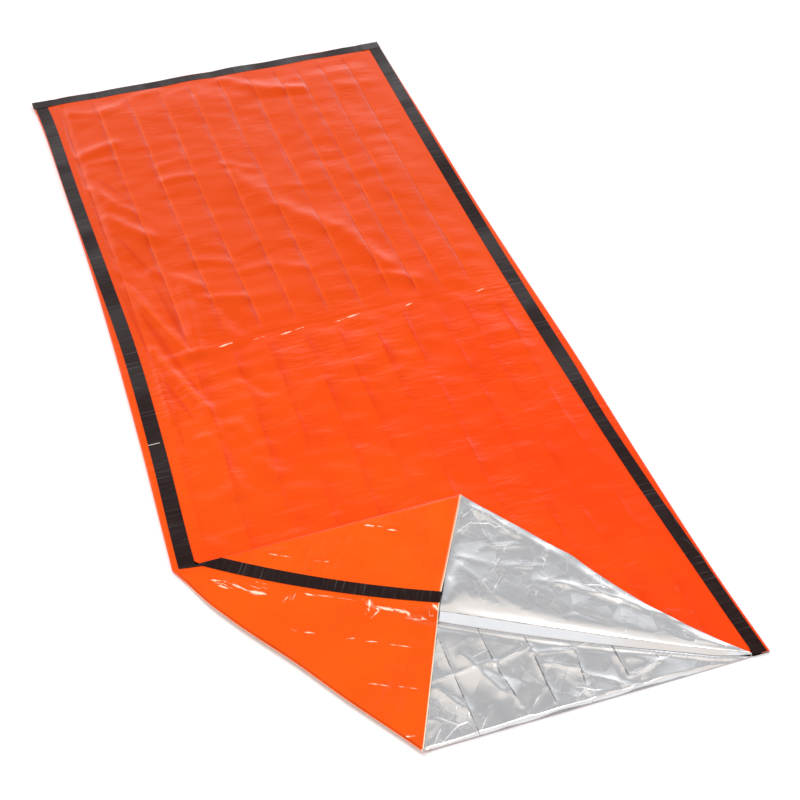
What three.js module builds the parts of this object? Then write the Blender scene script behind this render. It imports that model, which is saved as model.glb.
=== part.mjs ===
// An emergency sleeping bag of plastic film, lying flat with the near left corner of its mouth folded open.
// Two film panels, orange outside and silver inside, meet edge to edge under black tape along both sides
// and across the foot. Millimetres: x runs across the bag, y from the mouth to the foot, z up.
import * as THREE from 'three';

// Length of the bag as it lies, and what it is made of
const LENGTH = 2130;
const FILM_THICKNESS = 1.2;
const TAPE_THICKNESS = 1.0;
const TAPE_WIDTH = 30;
const CLEARANCE = 0.3;

// Heights of the middle of the film: the panel on the ground, and the seams that lie on top of it
const GROUND_Z = FILM_THICKNESS / 2;
const SEAM_Z = 8;
const TAPE_RISE = FILM_THICKNESS / 2 + CLEARANCE + TAPE_THICKNESS / 2;

// The bottom panel turns up round this depth of edge, and over to a seam this far in from the foot
const EDGE_DEPTH = 3.5;
const FOOT_SEAM_INSET = 17;
const FOOT_SEAM = LENGTH - FOOT_SEAM_INSET;

// The sides as they lie: the turned edge and the seam beside it, at each distance from the mouth
const SIDES = [
  { y: 0, leftEdge: -450, leftSeam: -424, rightEdge: 467, rightSeam: 452 },
  { y: 200, leftEdge: -450, leftSeam: -424, rightEdge: 457, rightSeam: 441 },
  { y: 500, leftEdge: -450, leftSeam: -424, rightEdge: 455, rightSeam: 430 },
  { y: 800, leftEdge: -443, leftSeam: -414, rightEdge: 457, rightSeam: 426 },
  { y: 1100, leftEdge: -439, leftSeam: -410, rightEdge: 453, rightSeam: 425 },
  { y: 1400, leftEdge: -439, leftSeam: -419, rightEdge: 451, rightSeam: 428 },
  { y: 1700, leftEdge: -445, leftSeam: -429, rightEdge: 454, rightSeam: 432 },
  { y: 2000, leftEdge: -453, leftSeam: -436, rightEdge: 455, rightSeam: 438 },
  { y: 2130, leftEdge: -462, leftSeam: -444, rightEdge: 455, rightSeam: 440 },
];

// The top panel's loft above its seams, which fades out over the border beside them and towards the mouth
const LOFT = 5;
const FLAT_BORDER = 18;
const LOFT_BORDER = 130;
const LOFT_FROM_Y = 520;
const LOFT_FULL_Y = 900;

// The bag was folded in half across y = HALF and rolled up flat. Each turn left a lengthwise crease, at this
// share of the width between the seams: a groove on the mouth half, a ridge on the foot half.
const HALF = LENGTH / 2;
const HALF_CREASE_WIDTH = 60;
const HALF_CREASE_HEIGHT = 1.6;
const CREASE_GROOVE = 1.4;
const CREASE_RIDGE = 2.4;
const CREASE_FADE = 60;
const CREASES = [
  { mouthHalf: 0.046, footHalf: 0.044 },
  { mouthHalf: 0.142, footHalf: 0.143 },
  { mouthHalf: 0.243, footHalf: 0.238 },
  { mouthHalf: 0.332, footHalf: 0.331 },
  { mouthHalf: 0.427, footHalf: 0.422 },
  { mouthHalf: 0.511, footHalf: 0.509 },
  { mouthHalf: 0.6, footHalf: 0.596 },
  { mouthHalf: 0.683, footHalf: 0.68 },
  { mouthHalf: 0.773, footHalf: 0.747 },
  { mouthHalf: 0.844, footHalf: 0.815 },
  { mouthHalf: 0.927, footHalf: 0.894 },
];

// Broad soft ridges where the film stands off the panel below, each from one end of its line to the other
const RIDGES = [
  { x0: -55, y0: 1660, x1: 10, y1: 1500, width: 40, height: 6 },
  { x0: 10, y0: 1500, x1: 185, y1: 1180, width: 38, height: 8 },
  { x0: -80, y0: 2070, x1: 170, y1: 1950, width: 44, height: 6 },
  { x0: -385, y0: 1700, x1: -295, y1: 1470, width: 34, height: 6 },
  { x0: -372, y0: 1330, x1: -300, y1: 900, width: 34, height: 5 },
  { x0: -375, y0: 1870, x1: -295, y1: 1890, width: 32, height: 5 },
  { x0: -230, y0: 1690, x1: -140, y1: 1680, width: 32, height: 4 },
  { x0: -225, y0: 2020, x1: -140, y1: 2070, width: 32, height: 4 },
  { x0: -230, y0: 1235, x1: -130, y1: 1205, width: 32, height: 3 },
  { x0: -300, y0: 860, x1: -230, y1: 730, width: 44, height: 3 },
];

// The opened corner. The top panel is folded back along the line from the apex to the mouth end, and again
// along the line from the apex to the tip. The seam then lies on top, from the apex to the seam end.
const EDGE_TURN = new THREE.Vector3(-450, 500, 0);
const EDGE_END = new THREE.Vector3(-153, 0, 0);
const APEX = new THREE.Vector3(-405, 493, SEAM_Z);
const MOUTH_END = new THREE.Vector3(434, 4, SEAM_Z);
const TIP = new THREE.Vector3(95, 495, 19);
const SEAM_END = new THREE.Vector3(-25, 275, 21);
const FOLD_START = 0.03;
const APEX_CLEARANCE = 4;
const EDGE_END_HEIGHT = 6;
const LEAST_RADIUS = 1.2;
const MOUTH_FOLD_RADIUS = 4;
const TIP_FOLD_RADIUS = 3;
const CREASE_BOW = 21;
const SEAM_BOW = 12;
const FREE_EDGE_BOW = 15;
const FREE_EDGE_BOW_SHARE = 0.6;

// The tape beside the folded seam: how far it reaches onto each panel at the apex and at the mouth
const FOLDED_TAPE = {
  apex: { onTop: 28, onBottom: 2 },
  mouth: { onTop: 15, onBottom: 14 },
};
const TAPE_IN_CORNER = 0.95;

// The foot tape steps down over this length beside the side tapes that it covers
const STEP_DOWN = 12;

// Steps of the surfaces
const FOOT_HALF_ROWS = 16;
const MOUTH_HALF_ROWS = 9;
const LAST_ROW_SHARE = 0.965;
const TURN_STEPS = 4;
const FLAP_STEPS = 3;
const FOOT_TAPE_STEPS = 8;

const { lerp, smoothstep } = THREE.MathUtils;

// A side's place at a distance from the mouth, on a smooth curve through the rows of the table
function sideAt(column, y) {
  let i = 0;
  while (i < SIDES.length - 2 && y > SIDES[i + 1].y) {
    i += 1;
  }
  const slope = (k) => {
    const before = SIDES[Math.max(k - 1, 0)];
    const after = SIDES[Math.min(k + 1, SIDES.length - 1)];
    return (after[column] - before[column]) / (after.y - before.y);
  };
  const span = SIDES[i + 1].y - SIDES[i].y;
  const t = (y - SIDES[i].y) / span;
  const start = SIDES[i][column] * (1 + 2 * t) * (1 - t) ** 2;
  const end = SIDES[i + 1][column] * (3 - 2 * t) * t ** 2;
  const startSlope = slope(i) * span * t * (1 - t) ** 2;
  const endSlope = slope(i + 1) * span * (t - 1) * t ** 2;
  return start + end + startSlope + endSlope;
}

// The lengthwise lines of the top panel's surface: its seams, the borders under the tape, the creases and the
// middles between them, as shares of the width in each half of the bag
function panelColumns() {
  const border = FLAT_BORDER / (sideAt('rightSeam', HALF) - sideAt('leftSeam', HALF));
  const plain = (share) => ({ mouthHalf: share, footHalf: share, crease: 0 });
  const columns = [plain(0), plain(border)];
  CREASES.forEach((crease, i) => {
    const next = CREASES[i + 1] ?? plain(1 - border);
    columns.push({ ...crease, crease: 1 });
    columns.push({
      mouthHalf: (crease.mouthHalf + next.mouthHalf) / 2,
      footHalf: (crease.footHalf + next.footHalf) / 2,
      crease: 0,
    });
  });
  columns.push(plain(1 - border), plain(1));
  return columns;
}
const COLUMNS = panelColumns();

// How far a place is into the foot half, from 0 to 1 across the crease between the halves
function footShare(y) {
  return smoothstep(y, HALF - HALF_CREASE_WIDTH, HALF + HALF_CREASE_WIDTH);
}

// Height that the broad ridges add at a place
function ridgesAt(x, y) {
  let height = 0;
  for (const ridge of RIDGES) {
    const start = new THREE.Vector2(ridge.x0, ridge.y0);
    const line = new THREE.Vector2(ridge.x1, ridge.y1).sub(start);
    const place = new THREE.Vector2(x, y).sub(start);
    const share = THREE.MathUtils.clamp(place.dot(line) / line.lengthSq(), 0, 1);
    const away = place.distanceTo(line.multiplyScalar(share));
    height += ridge.height * Math.exp(-((away / ridge.width) ** 2));
  }
  return height;
}

// A point of the top panel where it lies over the bottom panel
function lyingPoint(column, y) {
  const foot = footShare(y);
  const across = lerp(column.mouthHalf, column.footHalf, foot);
  const left = sideAt('leftSeam', y) + CLEARANCE / 2;
  const right = sideAt('rightSeam', y) - CLEARANCE / 2;
  const x = lerp(left, right, across);
  const fromSeam = Math.min(x - left, right - x, FOOT_SEAM - y);
  const free = smoothstep(fromSeam, FLAT_BORDER, LOFT_BORDER) * smoothstep(y, LOFT_FROM_Y, LOFT_FULL_Y);
  const creased = column.crease * lerp(-CREASE_GROOVE, CREASE_RIDGE, foot);
  const crossCrease = HALF_CREASE_HEIGHT * Math.exp(-(((y - HALF) / HALF_CREASE_WIDTH) ** 2));
  const fade = smoothstep(fromSeam, FLAT_BORDER, CREASE_FADE);
  const z = SEAM_Z + free * (LOFT + ridgesAt(x, y) + crossCrease) + fade * creased;
  return new THREE.Vector3(x, y, z);
}

// Shares of the way from the apex to the open ends of the folds, one for each lengthwise line
const FOLD_SHARES = COLUMNS.map((column) => lerp(FOLD_START, 1, column.mouthHalf));

// Direction on the ground to the left of the way from one point to another
function leftOf(from, to) {
  return new THREE.Vector3(from.y - to.y, to.x - from.x, 0).normalize();
}
const CREASE_LEFT = leftOf(APEX, MOUTH_END);
const TIP_LEFT = leftOf(APEX, TIP);
const SEAM_LEFT = leftOf(APEX, SEAM_END);
const FREE_EDGE_LEFT = leftOf(MOUTH_END, TIP);
const EDGE_INWARD = leftOf(EDGE_TURN, EDGE_END);

// Radii of the two folds, least at the apex. The fold to the mouth end closes again there.
function mouthFoldRadius(share) {
  return lerp(LEAST_RADIUS, MOUTH_FOLD_RADIUS, Math.sin(Math.PI * share));
}
function tipFoldRadius(share) {
  return lerp(LEAST_RADIUS, TIP_FOLD_RADIUS, share);
}

// The lines of the opened corner, at a share of the way from the apex. The crease and the seam bow to the mouth.
function bow(share) {
  return 4 * share * (1 - share);
}
function creaseLine(share) {
  return APEX.clone().lerp(MOUTH_END, share).addScaledVector(CREASE_LEFT, -CREASE_BOW * bow(share));
}
function tipLine(share) {
  const line = APEX.clone().lerp(TIP, share);
  const lowAtTip = TIP.z - 2 * TIP_FOLD_RADIUS;
  line.z = lerp(SEAM_Z + 2 * LEAST_RADIUS, lowAtTip, share);
  return line;
}
function seamLine(share) {
  const line = APEX.clone().lerp(SEAM_END, share).addScaledVector(SEAM_LEFT, -SEAM_BOW * bow(share));
  line.z = lerp(SEAM_Z + 4 * LEAST_RADIUS, SEAM_END.z, share);
  return line;
}

// A point on a round fold: half a turn, from the lower layer at turn 0 to the upper layer at turn 1
function turned(line, outward, radius, turn) {
  const point = line.clone().addScaledVector(outward, radius * Math.sin(Math.PI * turn));
  point.z += radius * (1 - Math.cos(Math.PI * turn));
  return point;
}

// The flap between the two folds, its inside up, with a free edge that bows in near the mouth end
function flapPoint(share, across) {
  const start = turned(creaseLine(share), CREASE_LEFT, mouthFoldRadius(share), 1);
  const drawnIn = share * FREE_EDGE_BOW * Math.sin(Math.PI * Math.min(across / FREE_EDGE_BOW_SHARE, 1));
  return start.lerp(tipLine(share), across).addScaledVector(FREE_EDGE_LEFT, drawnIn);
}

// The top panel's own corner on top of the flap, from the fold at the tip to the seam
function topCornerPoint(share, across) {
  const start = turned(tipLine(share), TIP_LEFT, tipFoldRadius(share), 1);
  const end = seamLine(share).addScaledVector(SEAM_LEFT, CLEARANCE / 2);
  return start.lerp(end, across);
}

// Rows of the top panel, from its seam at the foot to its seam on the opened corner
function topPanelRows() {
  const rows = [];
  const lyingRow = (y) => rows.push(COLUMNS.map((column) => lyingPoint(column, y)));
  lyingRow(FOOT_SEAM - CLEARANCE / 2);
  for (let i = 0; i <= FOOT_HALF_ROWS; i += 1) {
    lyingRow(lerp(FOOT_SEAM - FLAT_BORDER, HALF, i / FOOT_HALF_ROWS));
  }
  for (let i = 1; i <= MOUTH_HALF_ROWS; i += 1) {
    const share = (LAST_ROW_SHARE * i) / MOUTH_HALF_ROWS;
    rows.push(COLUMNS.map((column, c) => lyingPoint(column, lerp(HALF, creaseLine(FOLD_SHARES[c]).y, share))));
  }
  rows.push(FOLD_SHARES.map((share) => creaseLine(share)));
  const towardsMouth = CREASE_LEFT.clone().negate();
  for (let i = 1; i <= TURN_STEPS; i += 1) {
    const turn = i / TURN_STEPS;
    rows.push(FOLD_SHARES.map((share) => turned(creaseLine(share), towardsMouth, mouthFoldRadius(share), turn)));
  }
  for (let i = 1; i <= FLAP_STEPS; i += 1) {
    rows.push(FOLD_SHARES.map((share) => flapPoint(share, i / FLAP_STEPS)));
  }
  for (let i = 1; i <= TURN_STEPS; i += 1) {
    const turn = i / TURN_STEPS;
    rows.push(FOLD_SHARES.map((share) => turned(tipLine(share), TIP_LEFT, tipFoldRadius(share), turn)));
  }
  for (let i = 1; i <= FLAP_STEPS; i += 1) {
    rows.push(FOLD_SHARES.map((share) => topCornerPoint(share, i / FLAP_STEPS)));
  }
  return rows;
}
const LYING_ROWS = 1 + FOOT_HALF_ROWS + MOUTH_HALF_ROWS;
const TOP_ROWS = topPanelRows();

// One section of the bottom panel's border: from the ground up round its edge, and over to its seam
function borderSection(edge, inward, topZ, seam) {
  const section = [];
  const rise = (topZ - GROUND_Z) / 2;
  for (let i = 0; i <= TURN_STEPS; i += 1) {
    const angle = (Math.PI * i) / TURN_STEPS;
    const point = edge.clone().addScaledVector(inward, EDGE_DEPTH * (1 - Math.sin(angle)));
    point.z = GROUND_Z + rise * (1 - Math.cos(angle));
    section.push(point);
  }
  const top = section[TURN_STEPS];
  for (let i = 1; i <= FLAP_STEPS; i += 1) {
    section.push(top.clone().lerp(seam, i / FLAP_STEPS));
  }
  return section;
}

// The section of the border at the opened corner, where the bottom panel's own corner lies on top
function cornerSection(share) {
  const edge = EDGE_TURN.clone().lerp(EDGE_END, share);
  const topZ = lerp(SEAM_Z, EDGE_END_HEIGHT, share);
  const seam = seamLine(share).addScaledVector(SEAM_LEFT, -CLEARANCE / 2);
  return borderSection(edge, EDGE_INWARD, topZ, seam);
}

// Sections of the border all the way round, from the mouth at the opened corner to the mouth on the right
function borderSections() {
  const last = COLUMNS.length - 1;
  const leftward = new THREE.Vector3(-1, 0, 0);
  const rightward = new THREE.Vector3(1, 0, 0);
  const mouthward = new THREE.Vector3(0, -1, 0);
  const sections = [...FOLD_SHARES].reverse().map(cornerSection);
  const sideSection = (row, column, edgeName, inward, clearance = CLEARANCE) => {
    const seam = TOP_ROWS[row][column].clone().addScaledVector(inward, -clearance);
    seam.z = SEAM_Z;
    const edge = new THREE.Vector3(sideAt(edgeName, seam.y), seam.y, 0);
    sections.push(borderSection(edge, inward, SEAM_Z, seam));
  };
  const footSection = (column, inward) => {
    const seam = TOP_ROWS[0][column].clone().addScaledVector(inward, -CLEARANCE);
    seam.z = SEAM_Z;
    const across = COLUMNS[column].footHalf;
    const x = lerp(sideAt('leftEdge', LENGTH), sideAt('rightEdge', LENGTH), across);
    sections.push(borderSection(new THREE.Vector3(x, LENGTH, 0), inward, SEAM_Z, seam));
  };
  sideSection(LYING_ROWS, 0, 'leftEdge', rightward, APEX_CLEARANCE);
  for (let row = LYING_ROWS - 1; row >= 1; row -= 1) {
    sideSection(row, 0, 'leftEdge', rightward);
  }
  footSection(0, rightward.clone().add(mouthward));
  for (let column = 1; column < last; column += 1) {
    footSection(column, mouthward);
  }
  footSection(last, leftward.clone().add(mouthward));
  for (let row = 1; row <= LYING_ROWS; row += 1) {
    sideSection(row, last, 'rightEdge', leftward);
  }
  const mouthSeam = MOUTH_END.clone().addScaledVector(rightward, CLEARANCE);
  const mouthEdge = new THREE.Vector3(sideAt('rightEdge', 0), 0, 0);
  sections.push(borderSection(mouthEdge, leftward, SEAM_Z, mouthSeam));
  return sections;
}

// A surface as points and triangles, from rows of points
function gridSurface(rows) {
  const columns = rows[0].length;
  const triangles = [];
  for (let r = 0; r + 1 < rows.length; r += 1) {
    for (let c = 0; c + 1 < columns; c += 1) {
      const here = r * columns + c;
      const below = here + columns;
      triangles.push([here, below, below + 1], [here, below + 1, here + 1]);
    }
  }
  return { points: rows.flat(), triangles };
}

// The bottom panel: its border, and the flat part on the ground inside the border's first line
function bottomPanelSurface() {
  const sections = borderSections();
  const perSection = sections[0].length;
  const surface = { points: sections.flat(), triangles: [] };
  for (let s = 0; s + 1 < sections.length; s += 1) {
    for (let k = 0; k + 1 < perSection; k += 1) {
      const here = s * perSection + k;
      const next = here + perSection;
      surface.triangles.push([here, here + 1, next + 1], [here, next + 1, next]);
    }
  }
  const face = (...corners) => surface.triangles.push(corners.map((section) => section * perSection));
  const fan = (pivot, from, to) => {
    for (let s = from; s < to; s += 1) {
      face(pivot, s, s + 1);
    }
  };
  const mouthRight = sections.length - 1;
  const mouthLeft = FOLD_SHARES.length;
  const footLeft = mouthLeft + LYING_ROWS - 1;
  const opposite = (s) => mouthLeft + mouthRight - 1 - s;
  fan(mouthRight, 0, mouthLeft);
  face(mouthRight, mouthLeft, opposite(mouthLeft));
  for (let s = mouthLeft; s < footLeft; s += 1) {
    face(s, s + 1, opposite(s + 1));
    face(s, opposite(s + 1), opposite(s));
  }
  fan(footLeft, footLeft + 1, opposite(footLeft));
  return surface;
}

// Gives a surface its thickness, half to each side, and closes it along its free edges
function thicken({ points, triangles }, thickness) {
  const normals = points.map(() => new THREE.Vector3());
  const edges = new Map();
  for (const corners of triangles) {
    const [a, b, c] = corners.map((corner) => points[corner]);
    const normal = b.clone().sub(a).cross(c.clone().sub(a));
    corners.forEach((corner, i) => {
      normals[corner].add(normal);
      edges.set(`${corner} ${corners[(i + 1) % 3]}`, [corner, corners[(i + 1) % 3]]);
    });
  }
  const count = points.length;
  const offset = (side) => points.map((point, i) => point.clone().addScaledVector(
    normals[i].clone().normalize(), (side * thickness) / 2,
  ));
  const index = [];
  for (const [a, b, c] of triangles) {
    index.push(a, b, c, count + a, count + c, count + b);
  }
  for (const [from, to] of edges.values()) {
    if (!edges.has(`${to} ${from}`)) {
      index.push(from, count + from, count + to, from, count + to, to);
    }
  }
  const geometry = new THREE.BufferGeometry();
  geometry.setFromPoints([...offset(1), ...offset(-1)]);
  geometry.setIndex(index);
  geometry.computeVertexNormals();
  return geometry;
}

// A point of the tape, above a point of the film
function above(point, layers = 1) {
  return point.clone().setZ(point.z + TAPE_RISE + (layers - 1) * (TAPE_THICKNESS + CLEARANCE));
}

// The tape over a seam along a side, from the foot to the mouth
function sideTapeRows(seamName, ys) {
  return ys.map((y) => [-0.5, 0, 0.5].map((across) => above(
    new THREE.Vector3(sideAt(seamName, y) + across * TAPE_WIDTH, y, SEAM_Z),
  )));
}

// The tape over the seam of the opened corner, partly on each panel's corner
function foldedTapeRow(share) {
  const { apex, mouth } = FOLDED_TAPE;
  const section = cornerSection(share);
  const seam = seamLine(share);
  const edgeTop = section[TURN_STEPS];
  const tipTop = topCornerPoint(share, 0);
  const onBottom = lerp(apex.onBottom, mouth.onBottom, share) / seam.distanceTo(edgeTop);
  const onTop = lerp(apex.onTop, mouth.onTop, share) / seam.distanceTo(tipTop);
  return [
    above(seam.clone().lerp(edgeTop, onBottom)),
    above(seam),
    above(seam.clone().lerp(tipTop, Math.min(onTop, TAPE_IN_CORNER))),
  ];
}

// The tape across the foot, raised over the ends of the side tapes
function footTapeRows() {
  const nearEdge = FOOT_SEAM - TAPE_WIDTH / 2;
  const left = sideAt('leftEdge', LENGTH);
  const right = sideAt('rightEdge', LENGTH);
  const overSide = TAPE_WIDTH + FLAT_BORDER;
  const columns = [{ x: left, layers: 2 }, { x: left + overSide, layers: 2 }];
  for (let i = 0; i <= FOOT_TAPE_STEPS; i += 1) {
    const x = lerp(left + overSide + STEP_DOWN, right - overSide - STEP_DOWN, i / FOOT_TAPE_STEPS);
    columns.push({ x, layers: 1 });
  }
  columns.push({ x: right - overSide, layers: 2 }, { x: right, layers: 2 });
  return [1, 0.5, 0].map((across) => columns.map(({ x, layers }) => above(
    new THREE.Vector3(x, nearEdge + across * TAPE_WIDTH, SEAM_Z),
    layers,
  )));
}

// Film and tape as they look
const film = () => new THREE.MeshStandardMaterial({ color: 0xf4501e, roughness: 0.4, metalness: 0 });
const tape = () => new THREE.MeshStandardMaterial({ color: 0x2b2727, roughness: 0.5, metalness: 0 });

const bag = new THREE.Group();
function addPiece(name, surface, thickness, material) {
  const mesh = new THREE.Mesh(thicken(surface, thickness), material);
  mesh.name = name;
  bag.add(mesh);
}

const leftRowYs = TOP_ROWS.slice(0, LYING_ROWS + 1).map((row) => row[0].y);
const rightRowYs = TOP_ROWS.slice(0, LYING_ROWS + 1).map((row) => row.at(-1).y);
const leftTapeRows = [...sideTapeRows('leftSeam', leftRowYs), ...FOLD_SHARES.map(foldedTapeRow)];
const rightTapeRows = sideTapeRows('rightSeam', [...rightRowYs, 0]);

addPiece('top_panel', gridSurface(TOP_ROWS), FILM_THICKNESS, film());
addPiece('bottom_panel', bottomPanelSurface(), FILM_THICKNESS, film());
addPiece('left_seam_tape', gridSurface(leftTapeRows), TAPE_THICKNESS, tape());
addPiece('right_seam_tape', gridSurface(rightTapeRows), TAPE_THICKNESS, tape());
addPiece('foot_seam_tape', gridSurface(footTapeRows()), TAPE_THICKNESS, tape());

// The origin lies under the middle of the bag
const box = new THREE.Box3().setFromObject(bag);
const middle = box.getCenter(new THREE.Vector3());
bag.position.set(-middle.x, -middle.y, -box.min.z);

export default bag;
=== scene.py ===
import math
import bpy
import numpy as np
from mathutils import Matrix, Vector, noise


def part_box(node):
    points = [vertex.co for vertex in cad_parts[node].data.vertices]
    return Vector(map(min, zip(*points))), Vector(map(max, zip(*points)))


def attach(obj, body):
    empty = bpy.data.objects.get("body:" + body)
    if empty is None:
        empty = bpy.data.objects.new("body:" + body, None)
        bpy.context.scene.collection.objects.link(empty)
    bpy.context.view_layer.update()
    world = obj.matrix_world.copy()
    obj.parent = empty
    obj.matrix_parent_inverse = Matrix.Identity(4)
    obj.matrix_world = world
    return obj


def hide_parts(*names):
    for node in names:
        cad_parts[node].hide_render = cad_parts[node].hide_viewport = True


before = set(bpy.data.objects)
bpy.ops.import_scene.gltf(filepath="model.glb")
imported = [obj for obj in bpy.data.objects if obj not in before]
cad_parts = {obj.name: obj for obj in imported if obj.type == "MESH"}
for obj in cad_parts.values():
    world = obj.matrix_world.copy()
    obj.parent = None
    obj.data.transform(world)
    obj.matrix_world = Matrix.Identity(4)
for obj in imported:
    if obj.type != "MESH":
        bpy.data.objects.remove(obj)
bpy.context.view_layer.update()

# Bottom panel
# One sheet of polyethylene film, printed orange outside and silvered inside. It lies on the ground,
# turns up round both sides and the foot, and laps over to the seams. Its near left corner is turned
# over with the opened mouth.
LENGTH = 2.13
FILM_THICKNESS = 0.0006
GROUND = FILM_THICKNESS / 2
SEAM_HEIGHT = 0.008
EDGE_DEPTH = 0.0035
FOOT_LAP = 0.017
FOOT_SEAM = LENGTH - FOOT_LAP

# Places are measured from the middle of the mouth, x to the right and y towards the foot. The sides
# bend a little on the way, so their places are given at distances from the mouth.
SIDES = {
    "y": (0.0, 0.2, 0.5, 0.8, 1.1, 1.4, 1.7, 2.0, LENGTH),
    "left_edge": (-0.450, -0.450, -0.450, -0.443, -0.439, -0.439, -0.445, -0.453, -0.462),
    "left_seam": (-0.424, -0.424, -0.424, -0.414, -0.410, -0.419, -0.429, -0.436, -0.444),
    "right_edge": (0.467, 0.457, 0.455, 0.457, 0.453, 0.451, 0.454, 0.455, 0.455),
    "right_seam": (0.452, 0.441, 0.430, 0.426, 0.425, 0.428, 0.432, 0.438, 0.440),
}
FOOT_LEFT, FOOT_RIGHT = SIDES["left_edge"][-1], SIDES["right_edge"][-1]
MOUTH = np.array([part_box("foot_seam_tape")[0].x - FOOT_LEFT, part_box("right_seam_tape")[0].y, 0.0])


def lerp(start, end, share):
    return start + (end - start) * share


def smooth(value, low, high):
    share = np.clip((value - low) / (high - low), 0, 1)
    return share * share * (3 - 2 * share)


def side(name, y):
    """A side's place at a distance from the mouth, on a smooth curve through its given places."""
    at, x = np.array(SIDES["y"]), np.array(SIDES[name])
    first, last = np.r_[0, 0:len(at) - 1], np.r_[1:len(at), len(at) - 1]
    slope = (x[last] - x[first]) / (at[last] - at[first])
    i = np.clip(np.searchsorted(at, y) - 1, 0, len(at) - 2)
    span = at[i + 1] - at[i]
    t = (y - at[i]) / span
    start = x[i] * (1 + 2 * t) + slope[i] * span * t
    end = x[i + 1] * (3 - 2 * t) + slope[i + 1] * span * (t - 1)
    return start * (1 - t) ** 2 + end * t ** 2


# The opened corner: the edge folded up from the mouth, and the seam, which lies on top
EDGE_TURN = np.array([-0.450, 0.500])
EDGE_END = np.array([-0.153, 0.0])
EDGE_END_HEIGHT = 0.006
APEX = np.array([-0.405, 0.493, SEAM_HEIGHT])
SEAM_END = np.array([-0.025, 0.275, 0.021])
SEAM_BOW = 0.012
EDGE_BOW = 0.013
LEAST_RADIUS = 0.0012


def left_of(start, end):
    """Direction on the ground to the left of the way from one point to another."""
    way = (end - start)[:2]
    return np.array([-way[1], way[0]]) / np.hypot(*way)


def bow(share):
    return 4 * share * (1 - share)


def seam_line(share):
    """The seam on the opened corner, at shares of its way from the apex."""
    line = lerp(APEX, SEAM_END, share[:, None])
    line[:, :2] -= left_of(APEX, SEAM_END) * (SEAM_BOW * bow(share))[:, None]
    line[:, 2] = lerp(SEAM_HEIGHT + 4 * LEAST_RADIUS, SEAM_END[2], share)
    return line


def edge_bow(share):
    """How far the folded edge bends out, at shares of its way from the turn to the mouth."""
    near_turn = lerp(1, 0.48, smooth(share, 0.28, 0.58))
    return EDGE_BOW * smooth(share, -0.03, 0.22) * near_turn * smooth(share, 1.02, 0.68)


# The near edges stand off the ground a little, and the right end of the mouth lies lower than the seam
EDGE_LIFT = 0.0045
MOUTH_LIFT = 0.006
LIFT_REACH = 0.05
MOUTH_END_DROP = 0.0045


def lifted(x, y):
    """How far the panel stands off the ground at a place."""
    opened = np.clip(1 - y / EDGE_TURN[1], 0, 1)
    from_edge = np.maximum(x - lerp(EDGE_TURN[0], EDGE_END[0], opened), 0)
    at_edge = EDGE_LIFT * smooth(opened, 0.02, 0.25) * np.exp(-from_edge / LIFT_REACH)
    along_mouth = smooth(x, EDGE_END[0], EDGE_END[0] + 0.15) * smooth(x, 0.40, 0.30)
    return at_edge + MOUTH_LIFT * along_mouth * np.exp(-y / LIFT_REACH)


def right_drop(y):
    """How far the right seam drops towards the mouth."""
    return MOUTH_END_DROP * smooth(y, 0.215, 0.004)


# Sections of a lap: steps round the edge, and steps in all
LAP_TURN = 6
LAP_STEPS = 36


def lap(edge, inward, top, seam):
    """Sections of film from the ground round an edge and over to a seam, and their places in the pattern."""
    angle = np.linspace(0, math.pi, LAP_TURN + 1)
    turn = np.empty((len(edge), len(angle), 3))
    turn[..., :2] = edge[:, None] + inward[:, None] * (EDGE_DEPTH * (1 - np.sin(angle)))[:, None]
    base = GROUND + lifted(*turn[:, 0, :2].T)
    turn[..., 2] = base[:, None] + (top - base)[:, None] / 2 * (1 - np.cos(angle))
    over = lerp(turn[:, -1:], seam[:, None], np.linspace(0, 1, LAP_STEPS - LAP_TURN + 1)[1:, None])
    points = np.concatenate([turn, over], axis=1)
    away = ((points[..., :2] - edge[:, None]) * inward[:, None]).sum(-1)
    flat = -away
    flat[:, :len(angle)] = EDGE_DEPTH * np.cos(angle)
    return points, points[..., :2] + inward[:, None] * (flat - away)[..., None]


# The panel's rows, close together at the mouth and wider apart under the top panel
RIM_ROWS = [0, 0.0005, 0.0014, 0.0027, 0.0045, 0.007]
NEAR_ROWS = 136
FAR_ROWS = 31
ACROSS = 160
near = np.concatenate([RIM_ROWS, np.linspace(0.010, EDGE_TURN[1], NEAR_ROWS)])
far = np.linspace(EDGE_TURN[1], LENGTH - EDGE_DEPTH, FAR_ROWS)[1:]
rows = np.concatenate([near, far])
across = np.linspace(0, 1, ACROSS)
last_row = len(rows) - 1

opened = np.clip(1 - rows / EDGE_TURN[1], 0, 1)
inward = lerp(np.array([1.0, 0.0]), left_of(EDGE_TURN, EDGE_END), smooth(opened, 0, 0.06)[:, None])
inward /= np.linalg.norm(inward, axis=1)[:, None]
left_edge = lerp(EDGE_TURN, EDGE_END, opened[:, None])
left_edge -= left_of(EDGE_TURN, EDGE_END) * edge_bow(opened)[:, None]
left_edge[len(near):] = np.stack([side("left_edge", far), far], axis=1)
straight_seam = np.stack([side("left_seam", rows), rows, np.full(len(rows), SEAM_HEIGHT)], axis=1)
left_seam = lerp(straight_seam, seam_line(opened), smooth(opened, 0, 0.03)[:, None])
left_top = lerp(SEAM_HEIGHT, EDGE_END_HEIGHT, opened) + 0.8 * EDGE_LIFT * smooth(opened, 0.02, 0.25)

right_edge = np.stack([side("right_edge", rows), rows], axis=1)
right_inward = np.tile([-1.0, 0.0], (len(rows), 1))
right_top = SEAM_HEIGHT - right_drop(rows)
right_seam = np.stack([side("right_seam", rows), rows, right_top], axis=1)

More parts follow.
